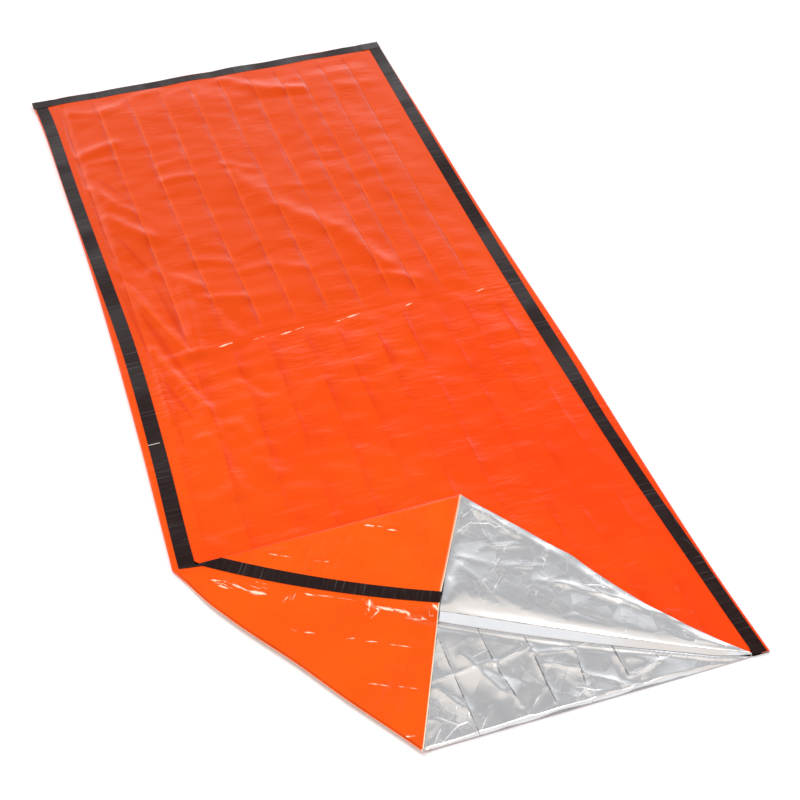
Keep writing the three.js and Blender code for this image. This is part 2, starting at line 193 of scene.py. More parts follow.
foot_edge = np.stack([lerp(FOOT_LEFT, FOOT_RIGHT, across), np.full(ACROSS, LENGTH)], axis=1)
foot_inward = np.tile([0.0, -1.0], (ACROSS, 1))
foot_x = lerp(side("left_seam", FOOT_SEAM), side("right_seam", FOOT_SEAM), across)
foot_seam = np.stack([foot_x, np.full(ACROSS, FOOT_SEAM), np.full(ACROSS, SEAM_HEIGHT)], axis=1)

# The two corners at the foot are mitred, so each is the last section of its side as well as of the foot
left_edge[last_row], right_edge[last_row] = foot_edge[0], foot_edge[-1]
left_seam[last_row], right_seam[last_row] = foot_seam[0], foot_seam[-1]
inward[last_row] = np.array([1, -1]) / math.sqrt(2)
right_inward[last_row] = np.array([-1, -1]) / math.sqrt(2)

left_lap, left_pattern = lap(left_edge, inward, left_top, left_seam)
right_lap, right_pattern = lap(right_edge, right_inward, right_top, right_seam)
foot_lap, foot_pattern = lap(foot_edge, foot_inward, np.full(ACROSS, SEAM_HEIGHT), foot_seam)


def ripples(places, wavelength, seed):
    """A smooth uneven surface from -1 to 1, with swells about a wavelength apart."""
    heights = np.array([noise.noise((x, y, seed)) for x, y in places.reshape(-1, 2) / wavelength])
    return heights.reshape(places.shape[:-1])


FOOT_WAVE = 0.006


def foot_wave(x):
    """How far the foot's seam stands up from its level, in soft waves between the two corners."""
    from_ends = np.minimum(x - FOOT_LEFT, FOOT_RIGHT - x)
    waves = np.abs(ripples(np.stack([x, 0 * x], axis=-1), 0.15, 17.0))
    return FOOT_WAVE * waves * smooth(from_ends, 0.03, 0.09)


foot_rise = foot_wave(foot_lap[..., 0]) / SEAM_HEIGHT
foot_lap[..., 2] *= 1 + foot_rise * smooth(foot_lap[..., 2], 0.002, SEAM_HEIGHT)

plate = lerp(left_lap[:, :1], right_lap[:, :1], across[:, None])
plate[last_row, 1:-1] = foot_lap[1:-1, 0]
plate[..., 2] = GROUND + lifted(plate[..., 0], plate[..., 1])
plate_pattern = plate[..., :2].copy()


def away_from(x, y, x0, y0, x1, y1):
    """How far places lie from a straight line between two points."""
    dx, dy = x1 - x0, y1 - y0
    share = np.clip(((x - x0) * dx + (y - y0) * dy) / (dx * dx + dy * dy), 0, 1)
    return np.hypot(x - x0 - share * dx, y - y0 - share * dy)


def fold_height(places, folds):
    """Height of little folds: a sharp ridge along each fold's line, soft beside it."""
    x, y = places[..., 0], places[..., 1]
    height = np.zeros(x.shape)
    for *ends, width, tall in folds:
        height += tall * np.exp(-away_from(x, y, *ends) / width)
    return height


def scattered_folds(seed, count, low, high, longest, tallest):
    """Small folds scattered over part of the pattern, in every direction."""
    draw = np.random.default_rng(seed)
    start = draw.uniform(low, high, (count, 2))
    angle = draw.uniform(0, math.pi, count)
    length = draw.uniform(0.25, 1, count) * longest
    way = np.stack([np.cos(angle), np.sin(angle)], axis=1) * length[:, None]
    width = draw.uniform(0.003, 0.007, count)
    tall = draw.uniform(-1, 1, count) * tallest
    return np.column_stack([start - way / 2, start + way / 2, width, tall])


# The top panel's fold from the apex to the mouth's right end, whose front lies on this panel
MOUTH_END = np.array([0.434, 0.004, SEAM_HEIGHT - MOUTH_END_DROP])
CREASE_BOW = 0.021
FOLD_FRONT = 0.011
LEAST_FRONT = 0.002
crease_out = -left_of(APEX, MOUTH_END)


def crease_line(share):
    """The fold's crease, at shares of its way from the apex."""
    line = lerp(APEX, MOUTH_END, share[:, None])
    line[:, :2] += crease_out * (CREASE_BOW * bow(share))[:, None]
    return line


def fold_front(share):
    """How far the fold's front lies out from its crease."""
    narrowed = FOLD_FRONT * smooth(share, 0.26, 0.40) * lerp(1, 0.6, smooth(share, 0.6, 1))
    return LEAST_FRONT + narrowed * smooth(share, 1.0, 0.93)


# Creases that show on the silver inside, placed one by one: start and end, width, height. Painted shade
# darkens those of
# # the packing, and a painted highlight lightens the cross folds and the small ones.
PACKED_FOLDS = [
    (-0.052, 0.235, -0.055, 0.000, 0.003, 0.0009),
    (0.018, 0.222, 0.019, 0.125, 0.003, 0.0009),
    (0.019, 0.125, 0.030, 0.030, 0.003, 0.0010),
    (0.087, 0.192, 0.088, 0.130, 0.003, 0.0009),
    (0.088, 0.130, 0.085, 0.020, 0.004, 0.0014),
    (0.155, 0.152, 0.156, 0.100, 0.003, 0.0009),
    (0.156, 0.100, 0.143, 0.020, 0.003, 0.0012),
    (0.220, 0.122, 0.220, 0.030, 0.003, 0.0009),
    (0.284, 0.088, 0.282, 0.040, 0.003, 0.0008),
]
CROSS_FOLDS = [
    (-0.100, 0.125, 0.018, 0.133, 0.003, 0.0007),
    (0.018, 0.128, 0.088, 0.140, 0.003, 0.0010),
    (0.088, 0.125, 0.155, 0.112, 0.004, 0.0012),
    (0.155, 0.112, 0.205, 0.119, 0.004, 0.0011),
]
SOFT_FOLDS = [
    (-0.025, 0.160, 0.010, 0.070, 0.012, 0.0020),
    (-0.090, 0.110, -0.055, 0.050, 0.010, 0.0018),
]
SMALL_FOLDS = [
    (-0.130, 0.008, -0.100, 0.045, 0.003, 0.0009),
    (-0.050, 0.008, -0.018, 0.045, 0.003, 0.0009),
    (0.030, 0.008, 0.080, 0.055, 0.003, 0.0009),
    (0.100, 0.100, 0.150, 0.070, 0.004, 0.0011),
    (0.150, 0.060, 0.190, 0.030, 0.003, 0.0010),
    (0.190, 0.030, 0.220, 0.004, 0.003, 0.0010),
    (0.225, 0.028, 0.320, 0.050, 0.004, 0.0014),
    (0.320, 0.050, 0.390, 0.018, 0.003, 0.0010),
    (0.120, 0.015, 0.160, 0.040, 0.003, 0.0009),
    (0.140, 0.045, 0.150, 0.005, 0.003, 0.0009),
]
SILVER_FOLDS = PACKED_FOLDS + CROSS_FOLDS + SOFT_FOLDS + SMALL_FOLDS
SILVER_LIFT = 0.0008
SILVER_SWELLS = 0.0016
crease_plan = crease_line(np.linspace(0, 1, 60))
to_crease = np.interp(plate[..., 0], crease_plan[:, 0], crease_plan[:, 1]) - plate[..., 1]
before_fold = smooth(-to_crease * crease_out[1], FOLD_FRONT + 0.003, FOLD_FRONT + 0.025)
scattered = scattered_folds(11, 34, (-0.16, 0.0), (0.45, 0.30), 0.08, 0.0007)
silver_relief = fold_height(plate_pattern, SILVER_FOLDS) + SILVER_LIFT
silver_relief = silver_relief + SILVER_SWELLS * ripples(plate_pattern, 0.06, 4.0)
silver_relief += fold_height(plate_pattern, scattered)
silver_relief = np.maximum(silver_relief, 0) * before_fold
silver_relief *= smooth(plate_pattern[..., 0] - left_edge[:, :1], 0.0, 0.02)
silver_relief *= smooth(right_edge[:, :1] - plate_pattern[..., 0], 0.02, 0.06)
plate[..., 2] += silver_relief

# Its free edge at the mouth curls down to the ground
RIM_WIDTH = 0.0058
rim_width = RIM_WIDTH * (1 + 0.4 * ripples(plate_pattern * [1, 0], 0.05, 3.0))
rim = np.clip(1 - plate_pattern[..., 1] / rim_width, 0, 1) ** 1.25
rim *= smooth(across, 0, 0.03) * smooth(across, 0.97, 0.92)
plate[..., 2] -= rim * (plate[..., 2] - GROUND - FILM_THICKNESS)

# The plate is pushed up a little in front of the fold
PUSHED_UP = 0.0016
along_fold = (MOUTH_END - APEX)[:2]
plate_share = ((plate[..., :2] - APEX[:2]) * along_fold).sum(-1) / (along_fold ** 2).sum()
from_front = -to_crease * crease_out[1] - fold_front(plate_share)
pushed_up = np.exp(-((from_front - 0.0055) / 0.003) ** 2)
plate[..., 2] += PUSHED_UP * pushed_up * smooth(plate_share, 0.32, 0.42) * smooth(plate_share, 1.0, 0.95)

# Wrinkles of the orange corner beside its tape, which catch the light: start and end, width, height
CORNER_FOLDS = [
    (-0.385, 0.465, -0.310, 0.400, 0.005, 0.0024),
    (-0.370, 0.438, -0.335, 0.410, 0.004, 0.0015),
    (-0.290, 0.305, -0.245, 0.292, 0.004, 0.0014),
    (-0.280, 0.385, -0.250, 0.362, 0.004, 0.0013),
    (-0.230, 0.345, -0.170, 0.317, 0.004, 0.0012),
    (-0.155, 0.325, -0.145, 0.300, 0.004, 0.0020),
    (-0.150, 0.305, -0.105, 0.285, 0.004, 0.0016),
    (-0.110, 0.285, -0.040, 0.255, 0.005, 0.0024),
    (-0.210, 0.270, -0.185, 0.258, 0.004, 0.0013),
    (-0.150, 0.225, -0.105, 0.207, 0.004, 0.0015),
    (-0.175, 0.155, -0.125, 0.135, 0.004, 0.0015),
    (-0.180, 0.045, -0.165, 0.038, 0.003, 0.0010),
]
# Painted glints on the corner, pale lines where its wrinkles catch the light: start and end, strength
GLINT_LINES = [
    (-0.099, 0.481, -0.069, 0.466, 0.8),
    (-0.063, 0.457, -0.041, 0.445, 0.6),
    (-0.278, 0.472, -0.243, 0.451, 0.5),
    (-0.206, 0.429, -0.185, 0.419, 0.7),
    (-0.391, 0.450, -0.371, 0.439, 0.7),
    (-0.371, 0.439, -0.341, 0.410, 0.8),
    (-0.341, 0.408, -0.309, 0.386, 1.1),
    (-0.383, 0.434, -0.366, 0.419, 0.6),
    (-0.318, 0.419, -0.300, 0.405, 0.5),
    (-0.285, 0.359, -0.268, 0.371, 0.5),
    (-0.270, 0.355, -0.258, 0.370, 0.4),
    (-0.244, 0.364, -0.231, 0.354, 0.9),
    (-0.225, 0.352, -0.200, 0.339, 0.4),
    (-0.192, 0.334, -0.165, 0.318, 0.4),
    (-0.288, 0.299, -0.279, 0.291, 0.6),
    (-0.267, 0.285, -0.252, 0.278, 0.5),
    (-0.142, 0.310, -0.150, 0.290, 1.5),
    (-0.150, 0.275, -0.134, 0.284, 0.9),
    (-0.132, 0.293, -0.106, 0.273, 0.9),
    (-0.122, 0.281, -0.098, 0.265, 0.4),
    (-0.108, 0.278, -0.086, 0.264, 0.7),
    (-0.100, 0.260, -0.072, 0.246, 0.5),
    (-0.090, 0.262, -0.060, 0.244, 0.9),
    (-0.043, 0.269, -0.036, 0.247, 1.0),
    (-0.208, 0.248, -0.185, 0.242, 0.45),
    (-0.173, 0.231, -0.155, 0.223, 0.45),
    (-0.138, 0.212, -0.105, 0.198, 0.5),
    (-0.197, 0.150, -0.165, 0.133, 0.4),
    (-0.149, 0.128, -0.124, 0.117, 0.5),
    (-0.171, 0.033, -0.158, 0.030, 0.6),
]


def pale_lines(places, lines):
    """The signed distance to the nearest line, and that line's strength beside it, 0 beyond its ends."""
    x, y = places[..., 0], places[..., 1]
    nearest = np.full(x.shape, np.inf)
    distance, beside = np.ones(x.shape), np.zeros(x.shape)
    for x0, y0, x1, y1, strength in lines:
        length = math.hypot(x1 - x0, y1 - y0)
        along = ((x - x0) * (x1 - x0) + (y - y0) * (y1 - y0)) / length
        out = ((y - y0) * (x1 - x0) - (x - x0) * (y1 - y0)) / length
        away = np.hypot(out, along - np.clip(along, 0, length))
        closer = away < nearest
        nearest[closer] = away[closer]
        distance[closer] = out[closer]
        inside = (np.abs(out) < 0.012) & (away < np.abs(out) + 0.001)
        beside[closer] = (strength * inside * lerp(0.5, 1, bow(np.clip(along / length, 0, 1))))[closer]
    return distance, beside


def line_marks(shape, *areas):
    """A sheet's two marks for the lines on some areas of it, with no line elsewhere."""
    distance, beside = np.ones(shape), np.zeros(shape)
    for ids, places, lines in areas:
        distance[ids], beside[ids] = pale_lines(places, lines)
    return distance, beside


# The turned-over corner is wrinkled, and sags at the mouth until it nearly lies on the plate
CORNER_SWELLS = 0.0022
CORNER_HOLLOWS = 0.0005
CORNER_CLEARANCE = 0.0045
MOUTH_SAG = 0.85
over_corner = smooth(opened, 0.03, 0.12)[:, None]
lap_share = np.clip((np.arange(LAP_STEPS + 1) - LAP_TURN) / (LAP_STEPS - LAP_TURN), 0, 1)
lap_to_seam = np.linalg.norm(left_lap - left_lap[:, -1:], axis=-1)
corner_relief = fold_height(left_lap[..., :2], CORNER_FOLDS)
corner_relief = corner_relief + CORNER_SWELLS * ripples(left_lap[..., :2], 0.06, 7.0)
corner_relief = np.maximum(corner_relief, -CORNER_HOLLOWS)
corner_relief = over_corner * corner_relief * smooth(lap_to_seam, 0.014, 0.022)
left_lap[..., 2] += corner_relief * smooth(lap_share, 0, 0.2)
room = left_lap[..., 2] - lifted(left_lap[..., 0], left_lap[..., 1]) - CORNER_CLEARANCE
at_mouth = np.exp(-(rows[:, None] / 0.06) ** 2) * smooth(lap_to_seam, 0.022, 0.050)
at_mouth = at_mouth * smooth(lap_share, 0, 0.1)
left_lap[..., 2] -= MOUTH_SAG * at_mouth * np.maximum(room, 0)


def grid_faces(ids, upward=True):
    """Four-sided faces over a grid of vertex numbers."""
    a, b, c, d = ids[:-1, :-1], ids[:-1, 1:], ids[1:, 1:], ids[1:, :-1]
    order = (a, b, c, d) if upward else (a, d, c, b)
    return np.stack(order, axis=-1).reshape(-1, 4)


# The plate on the ground first, then the three laps, which share the plate's outer vertices
plate_ids = np.arange(plate[..., 0].size).reshape(plate.shape[:2])
left_new = plate_ids.size + np.arange(len(rows) * LAP_STEPS).reshape(len(rows), -1)
left_ids = np.column_stack([plate_ids[:, 0], left_new])
right_ids = np.column_stack([plate_ids[:, -1], left_ids[:, 1:] + len(rows) * LAP_STEPS])
foot_ids = np.column_stack([plate_ids[last_row], np.zeros((ACROSS, LAP_STEPS), int)])
foot_ids[1:-1, 1:] = right_ids.max() + 1 + np.arange((ACROSS - 2) * LAP_STEPS).reshape(ACROSS - 2, -1)
foot_ids[0], foot_ids[-1] = left_ids[last_row], right_ids[last_row]

bottom_points = np.concatenate([part.reshape(-1, 3) for part in (
    plate, left_lap[:, 1:], right_lap[:, 1:], foot_lap[1:-1, 1:])])
bottom_pattern = np.concatenate([part.reshape(-1, 2) for part in (
    plate_pattern, left_pattern[:, 1:], right_pattern[:, 1:], foot_pattern[1:-1, 1:])])
bottom_faces = np.concatenate([
    grid_faces(plate_ids, upward=False), grid_faces(left_ids),
    grid_faces(right_ids, upward=False), grid_faces(foot_ids)])
lap_ids = left_ids[:, LAP_TURN:]
# The turned-over corner is marked for its wrinkles and for its painted highlight
turned_back = np.zeros(len(bottom_points))
turned_back[lap_ids] = 0.8 * smooth(opened, 0.0, 0.08)[:, None]
# Painted highlight along the corner's cut edge at the mouth and along the lower half of its folded edge
pale_edge = np.zeros(len(bottom_points))
pale_edge[left_ids[:3]] = 1
pale_edge[left_ids[:, 1:LAP_TURN // 2 + 1]] = 0.9 * smooth(opened, 0.02, 0.1)[:, None]
from_line, by_line = line_marks(len(bottom_points), (lap_ids, left_lap[:, LAP_TURN:], GLINT_LINES))
silver_lines = [(*fold[:4], 0.9) for fold in PACKED_FOLDS]
silver_lines += [(*fold[:4], -0.9) for fold in CROSS_FOLDS + SMALL_FOLDS]
from_crease, by_crease = line_marks(len(bottom_points), (plate_ids, plate_pattern, silver_lines))


class Wire:
    """A socket of a finish's nodes. Arithmetic on it adds Math nodes."""

    def __init__(self, tree, socket=None):
        self.tree = tree
        self.socket = socket

    def node(self, kind, settings=None, inputs=None, output=0):
        """A new node: its settings, then the values or wires of its sockets."""
        made = self.tree.nodes.new(kind)
        for name, value in (settings or {}).items():
            setattr(made, name, value)
        for name, value in (inputs or {}).items():
            if isinstance(value, Wire):
                self.tree.links.new(value.socket, made.inputs[name])
            else:
                made.inputs[name].default_value = value
        return Wire(self.tree, made.outputs[output])

    def maths(self, operation, *values):
        return self.node("ShaderNodeMath", {"operation": operation}, dict(enumerate(values)))

    def __add__(self, other):
        return self.maths("ADD", self, other)

    def __sub__(self, other):
        return self.maths("SUBTRACT", self, other)

    def __rsub__(self, other):
        return self.maths("SUBTRACT", other, self)

    def __mul__(self, other):
        return self.maths("MULTIPLY", self, other)

    def __truediv__(self, other):
        return self.maths("DIVIDE", self, other)

    def __neg__(self):
        return self.maths("MULTIPLY", self, -1)

    def __abs__(self):
        return self.maths("ABSOLUTE", self)

    __radd__ = __add__
    __rmul__ = __mul__

    def between(self, low, high):
        """0 below low and 1 above high, smooth between them."""
        return self.node("ShaderNodeMapRange", {"interpolation_type": "SMOOTHSTEP"},
                         {"Value": self, "From Min": low, "From Max": high})

    def mix(self, low, high):
        """One colour where this is 0, another where it is 1."""
        return self.node("ShaderNodeMix", {"data_type": "RGBA"}, {0: self, 6: low, 7: high}, 2)

    def noise(self, scale, detail=2.0, stretch=(1.0, 1.0, 1.0)):
        """Even noise from 0 to 1 over the places that this wire carries."""
        place = self.node("ShaderNodeMapping", None, {"Vector": self, "Scale": stretch})
        return self.node("ShaderNodeTexNoise", None, {"Vector": place, "Scale": scale, "Detail": detail})

    def vector(self, operation, other, output=0):
        return self.node("ShaderNodeVectorMath", {"operation": operation}, {0: self, 1: other}, output)

    def part(self, index):
        """One part of a vector."""
        return self.node("ShaderNodeSeparateXYZ", None, {0: self}, index)

    def bump(self):
        """A normal from this height in metres."""
        return self.node("ShaderNodeBump", None, {"Strength": 1.0, "Distance": 1.0, "Height": self})


def new_finish(name):
    """A material with its shader, and the wire of the pattern that its piece was cut from."""
    material = bpy.data.materials.new(name)
    material.use_nodes = True
    tree = material.node_tree
    tree.nodes.clear()
    shader = tree.nodes.new("ShaderNodeBsdfPrincipled")
    output = tree.nodes.new("ShaderNodeOutputMaterial")
    tree.links.new(shader.outputs["BSDF"], output.inputs["Surface"])
    pattern = Wire(tree).node("ShaderNodeUVMap", {"uv_map": "pattern"})
    return material, shader, pattern


def connect(shader, **wires):
    for name, wire in wires.items():
        wire.tree.links.new(wire.socket, shader.inputs[name.replace("_", " ")])


# Orange print: glossy film with fine wrinkles. Painted light is mixed into its colour: a painted highlight
# on the turned-over corner, painted shade towards the right of the mouth half, towards the foot and in
# creases and hollows, painted highlights on ridges, painted glints and pale edges on the corner, and white
# dashes on the fold across the half
PLAIN_ORANGE = (0.87, 0.053, 0.0004, 1)
BRIGHT_ORANGE = (0.90, 0.083, 0.0008, 1)
FAR_SHADED_ORANGE = (0.74, 0.063, 0.0008, 1)
CORNER_LIT_ORANGE = (0.94, 0.104, 0.0016, 1)
CREASE_SHADE_ORANGE = (0.74, 0.036, 0.0003, 1)
FAR_CREASE_SHADE_ORANGE = (0.62, 0.040, 0.0003, 1)
RIDGE_HIGHLIGHT_ORANGE = (0.92, 0.125, 0.018, 1)
GLINT_AND_DASH_WHITE = (1.0, 0.76, 0.55, 1)
orange_film, shader, pattern = new_finish("orange_film")


def mark(name):
    """The wire of one of the piece's own marks."""
    return pattern.node("ShaderNodeAttribute", {"attribute_name": name}, None, "Fac")


from_mouth = pattern.part(1)
# Painted shade: the mouth half is painted deeper towards its right side
from_right = pattern.part(0) * (1 - from_mouth.between(0.7, 1.4)) * 0.5
tone = (pattern.noise(3.0, 3.0) - from_right).between(0.2, 0.8)
colour = tone.mix(PLAIN_ORANGE, BRIGHT_ORANGE)
# Painted shade: the film is painted darker towards the foot, where less light reaches it
colour = from_mouth.between(0.6, 1.5).mix(colour, FAR_SHADED_ORANGE)
# Painted highlight: the turned-over corner is painted paler, for the stronger light that falls on it
pale = mark("turned_back") * (0.35 + 0.7 * pattern.noise(10.0, 3.0).between(0.3, 0.7))
colour = pale.mix(colour, CORNER_LIT_ORANGE)
# Painted shade: deep colour beside the packing creases, in hollows and on the fold to the tip
hollow = mark("by_hollow") * 0.012
shade = mark("crease_shading") + (hollow - abs(mark("from_hollow"))).between(0.0, 0.011) * 0.8
shade_orange = from_mouth.between(0.9, 1.3).mix(CREASE_SHADE_ORANGE, FAR_CREASE_SHADE_ORANGE)
colour = (shade * 0.9).mix(colour, shade_orange)
# Painted highlight on the long ridges and on the lit side of the foot half's creases
crest = (-hollow - abs(mark("from_hollow"))).between(0.0, 0.008) - mark("crease_shading")
colour = (crest * 0.6).mix(colour, RIDGE_HIGHLIGHT_ORANGE)
# Painted glints: pale lines with a soft painted glow along the corner's wrinkles, with the white dashes on
# the fold across the half and the painted highlight on the pale edges
ragged = pattern.noise(60.0, 3.0).between(0.25, 0.7) * mark("by_line")
line = (ragged * 0.0034 - abs(mark("from_line"))).between(0.0, 0.0013)
glow = (ragged * 0.009 - abs(mark("from_line"))).between(0.0, 0.008)
wear_and_glints = line + glow * 0.35 + mark("pale_edge")
colour = wear_and_glints.mix(colour, GLINT_AND_DASH_WHITE)
patches = pattern.noise(7.0, 2.0).between(0.3, 0.65)
wrinkles = pattern.noise(26.0, 3.0, (1.0, 3.2, 1.0)) * patches
height = wrinkles * (0.0024 - 0.0012 * from_mouth.between(1.0, 1.2))
height = height + pattern.noise(13.0, 2.0) * mark("turned_back") * 0.0040
height = height + pattern.noise(70.0, 2.0, (1.0, 2.0, 1.0)) * 0.00022
roughness = pattern.noise(14.0) * 0.12 + 0.16 + wear_and_glints * 0.2
connect(shader, Base_Color=colour, Roughness=roughness, Normal=height.bump())
shader.inputs["Specular IOR Level"].default_value = 0.13

# Silver inside: a bright metal coat, with flat facets that tilt a little between sharp creases
DULL_SILVER = (0.82, 0.82, 0.825, 1)
BRIGHT_SILVER = (0.91, 0.91, 0.915, 1)
CREASE_SHADE_SILVER = (0.26, 0.26, 0.27, 1)
CREASE_HIGHLIGHT_SILVER = (0.86, 0.85, 0.84, 1)
silver_film, shader, pattern = new_finish("silver_film")


def facets(places, scale, tilt):
    """Height of flat facets, each tilted its own way."""
    flat = {"voronoi_dimensions": "2D"}
    middle = places.node("ShaderNodeTexVoronoi", flat, {"Vector": places, "Scale": scale}, 2)
    lean = places.node("ShaderNodeTexVoronoi", flat, {"Vector": places, "Scale": scale}, 1)
    lean = lean.vector("SUBTRACT", (0.5, 0.5, 0.5))
    return places.vector("SUBTRACT", middle).vector("DOT_PRODUCT", lean, 1) * tilt


def sharp_lines(places, scale, width):
    """1 along the borders of the facets and 0 between them."""
    flat = {"voronoi_dimensions": "2D", "feature": "DISTANCE_TO_EDGE"}
    to_border = places.node("ShaderNodeTexVoronoi", flat, {"Vector": places, "Scale": scale})
    return 1 - to_border.between(0.0, width * scale)


some = pattern.noise(8.0).between(0.42, 0.6)
few = pattern.noise(11.0).between(0.5, 0.6)
height = facets(pattern, 15.0, 0.05) + facets(pattern, 44.0, 0.06) * some
height = height + facets(pattern, 110.0, 0.03) * few
height = height + sharp_lines(pattern, 19.0, 0.0014) * 0.0002 * few
height = height * (1 - mark("drawn")) + pattern.noise(90.0, 3.0) * 0.00005
colour = pattern.noise(20.0).mix(DULL_SILVER, BRIGHT_SILVER)
# Painted shade along the packing creases, and painted highlight along the other creases and the nose, which
# is also made less metallic
ragged = pattern.noise(40.0, 3.0).between(0.3, 0.7) * mark("by_crease") * 0.0024
silver_shade = (ragged - abs(mark("from_crease"))).between(0.0, 0.0008)
colour = (silver_shade * 0.8).mix(colour, CREASE_SHADE_SILVER)
silver_highlight = (-ragged - abs(mark("from_crease"))).between(0.0, 0.0010)
colour = silver_highlight.mix(colour, CREASE_HIGHLIGHT_SILVER)
roughness = pattern.noise(30.0) * 0.10 + 0.12
connect(shader, Base_Color=colour, Roughness=roughness, Normal=height.bump(), Metallic=1 - silver_highlight * 0.7)


def thin_surface(name, points, places, faces, marks):
    """A thin surface with its places in the pattern and its own marks."""
    mesh = bpy.data.meshes.new(name)
    mesh.from_pydata((points + MOUTH).tolist(), [], faces.tolist())
    corners = np.empty(len(mesh.loops), np.int32)
    mesh.loops.foreach_get("vertex_index", corners)
    mesh.uv_layers.new(name="pattern").data.foreach_set("uv", places[corners].astype(np.float32).ravel())
    for mark_name, values in marks.items():
        layer = mesh.attributes.new(mark_name, "FLOAT", "POINT")
        layer.data.foreach_set("value", values.astype(np.float32).ravel())
    made = bpy.data.objects.new(name, mesh)
    bpy.context.collection.objects.link(made)
    return made


def apply_modifiers(piece):
    """Makes what the modifiers give the piece's own mesh, smooth but for its sharp edges."""
    evaluated = piece.evaluated_get(bpy.context.evaluated_depsgraph_get())
    piece.data = bpy.data.meshes.new_from_object(evaluated)
    piece.modifiers.clear()
    piece.data.shade_smooth()
    piece.data.set_sharp_from_angle(angle=math.radians(50))


def film_sheet(name, points, places, faces, marks):
    """A sheet of film: its middle surface, given its thickness, orange outside and silver inside."""
    sheet = thin_surface(name, points, places, faces, marks)
    sheet.data.materials.append(orange_film)
    sheet.data.materials.append(silver_film)
    thickness = sheet.modifiers.new("thickness", "SOLIDIFY")
    thickness.thickness = FILM_THICKNESS
    thickness.offset = 0
    thickness.material_offset = 1
    thickness.material_offset_rim = 1
    apply_modifiers(sheet)
    return sheet


bottom_film = film_sheet("bottom_film", bottom_points, bottom_pattern, bottom_faces, {
    "turned_back": turned_back, "pale_edge": pale_edge, "from_line": from_line, "by_line": by_line,
    "from_crease": from_crease, "by_crease": by_crease})
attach(bottom_film, "root")
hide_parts("bottom_panel")

# Top panel
# A second sheet of the same film, cut to the space between the seams. It lies a little above the
# bottom panel. The near left corner of its mouth is folded back over it, and over once more, so that
# the seam lies on top.
HALF = LENGTH / 2
TIP = np.array([0.095, 0.495, 0.019])
FOLD_START = 0.03
MOUTH_FOLD_RADIUS = 0.004
OPEN_FOLD_RADIUS = 0.0065
TIP_FOLD_RADIUS = 0.0018
CREASE_SAG = 0.003
FREE_EDGE_BOW = 0.015
FREE_EDGE_BOW_SHARE = 0.6
LOFT = 0.005
FLAT_BORDER = 0.018
LOFT_BORDER = 0.13
WIDTH = 0.86

# Creases of the bag's packing, as shares of the width on the mouth half and on the foot half
PACKING_CREASES = [
    (0.046, 0.044), (0.142, 0.143), (0.243, 0.238), (0.332, 0.331), (0.427, 0.422), (0.511, 0.509),
    (0.600, 0.596), (0.683, 0.680), (0.773, 0.747), (0.844, 0.815), (0.927, 0.894),
]
BESIDE_CREASE = np.array([-0.009, -0.004, -0.0015, 0, 0.0015, 0.004, 0.009])
COLUMN = 0.011
FINE_COLUMN = 0.0055
LAST_COLUMNS = 6

# Columns of the panel, as shares of the width on its two halves, closer together near the left seam
columns = [(0.0, 0.0), (0.010, 0.010), (0.020, 0.020)]
for crease_shares in PACKING_CREASES:
    start = np.array(columns[-1])
    end = np.array(crease_shares) + BESIDE_CREASE[0] / WIDTH
    spacing = FINE_COLUMN if crease_shares[0] < 0.25 else COLUMN
    steps = max(int((end - start).max() * WIDTH / spacing), 1)
    columns += [lerp(start, end, k / steps) for k in range(1, steps)]
    columns += [np.array(crease_shares) + d / WIDTH for d in BESIDE_CREASE]
columns += [lerp(columns[-1], np.ones(2), k / LAST_COLUMNS) for k in range(1, LAST_COLUMNS + 1)]
mouth_share, foot_share = np.array(columns).T
past_creases = (mouth_share[:, None] - np.array(PACKING_CREASES)[:, 0]) * WIDTH
past_crease = past_creases[np.arange(len(columns)), np.abs(past_creases).argmin(axis=1)]

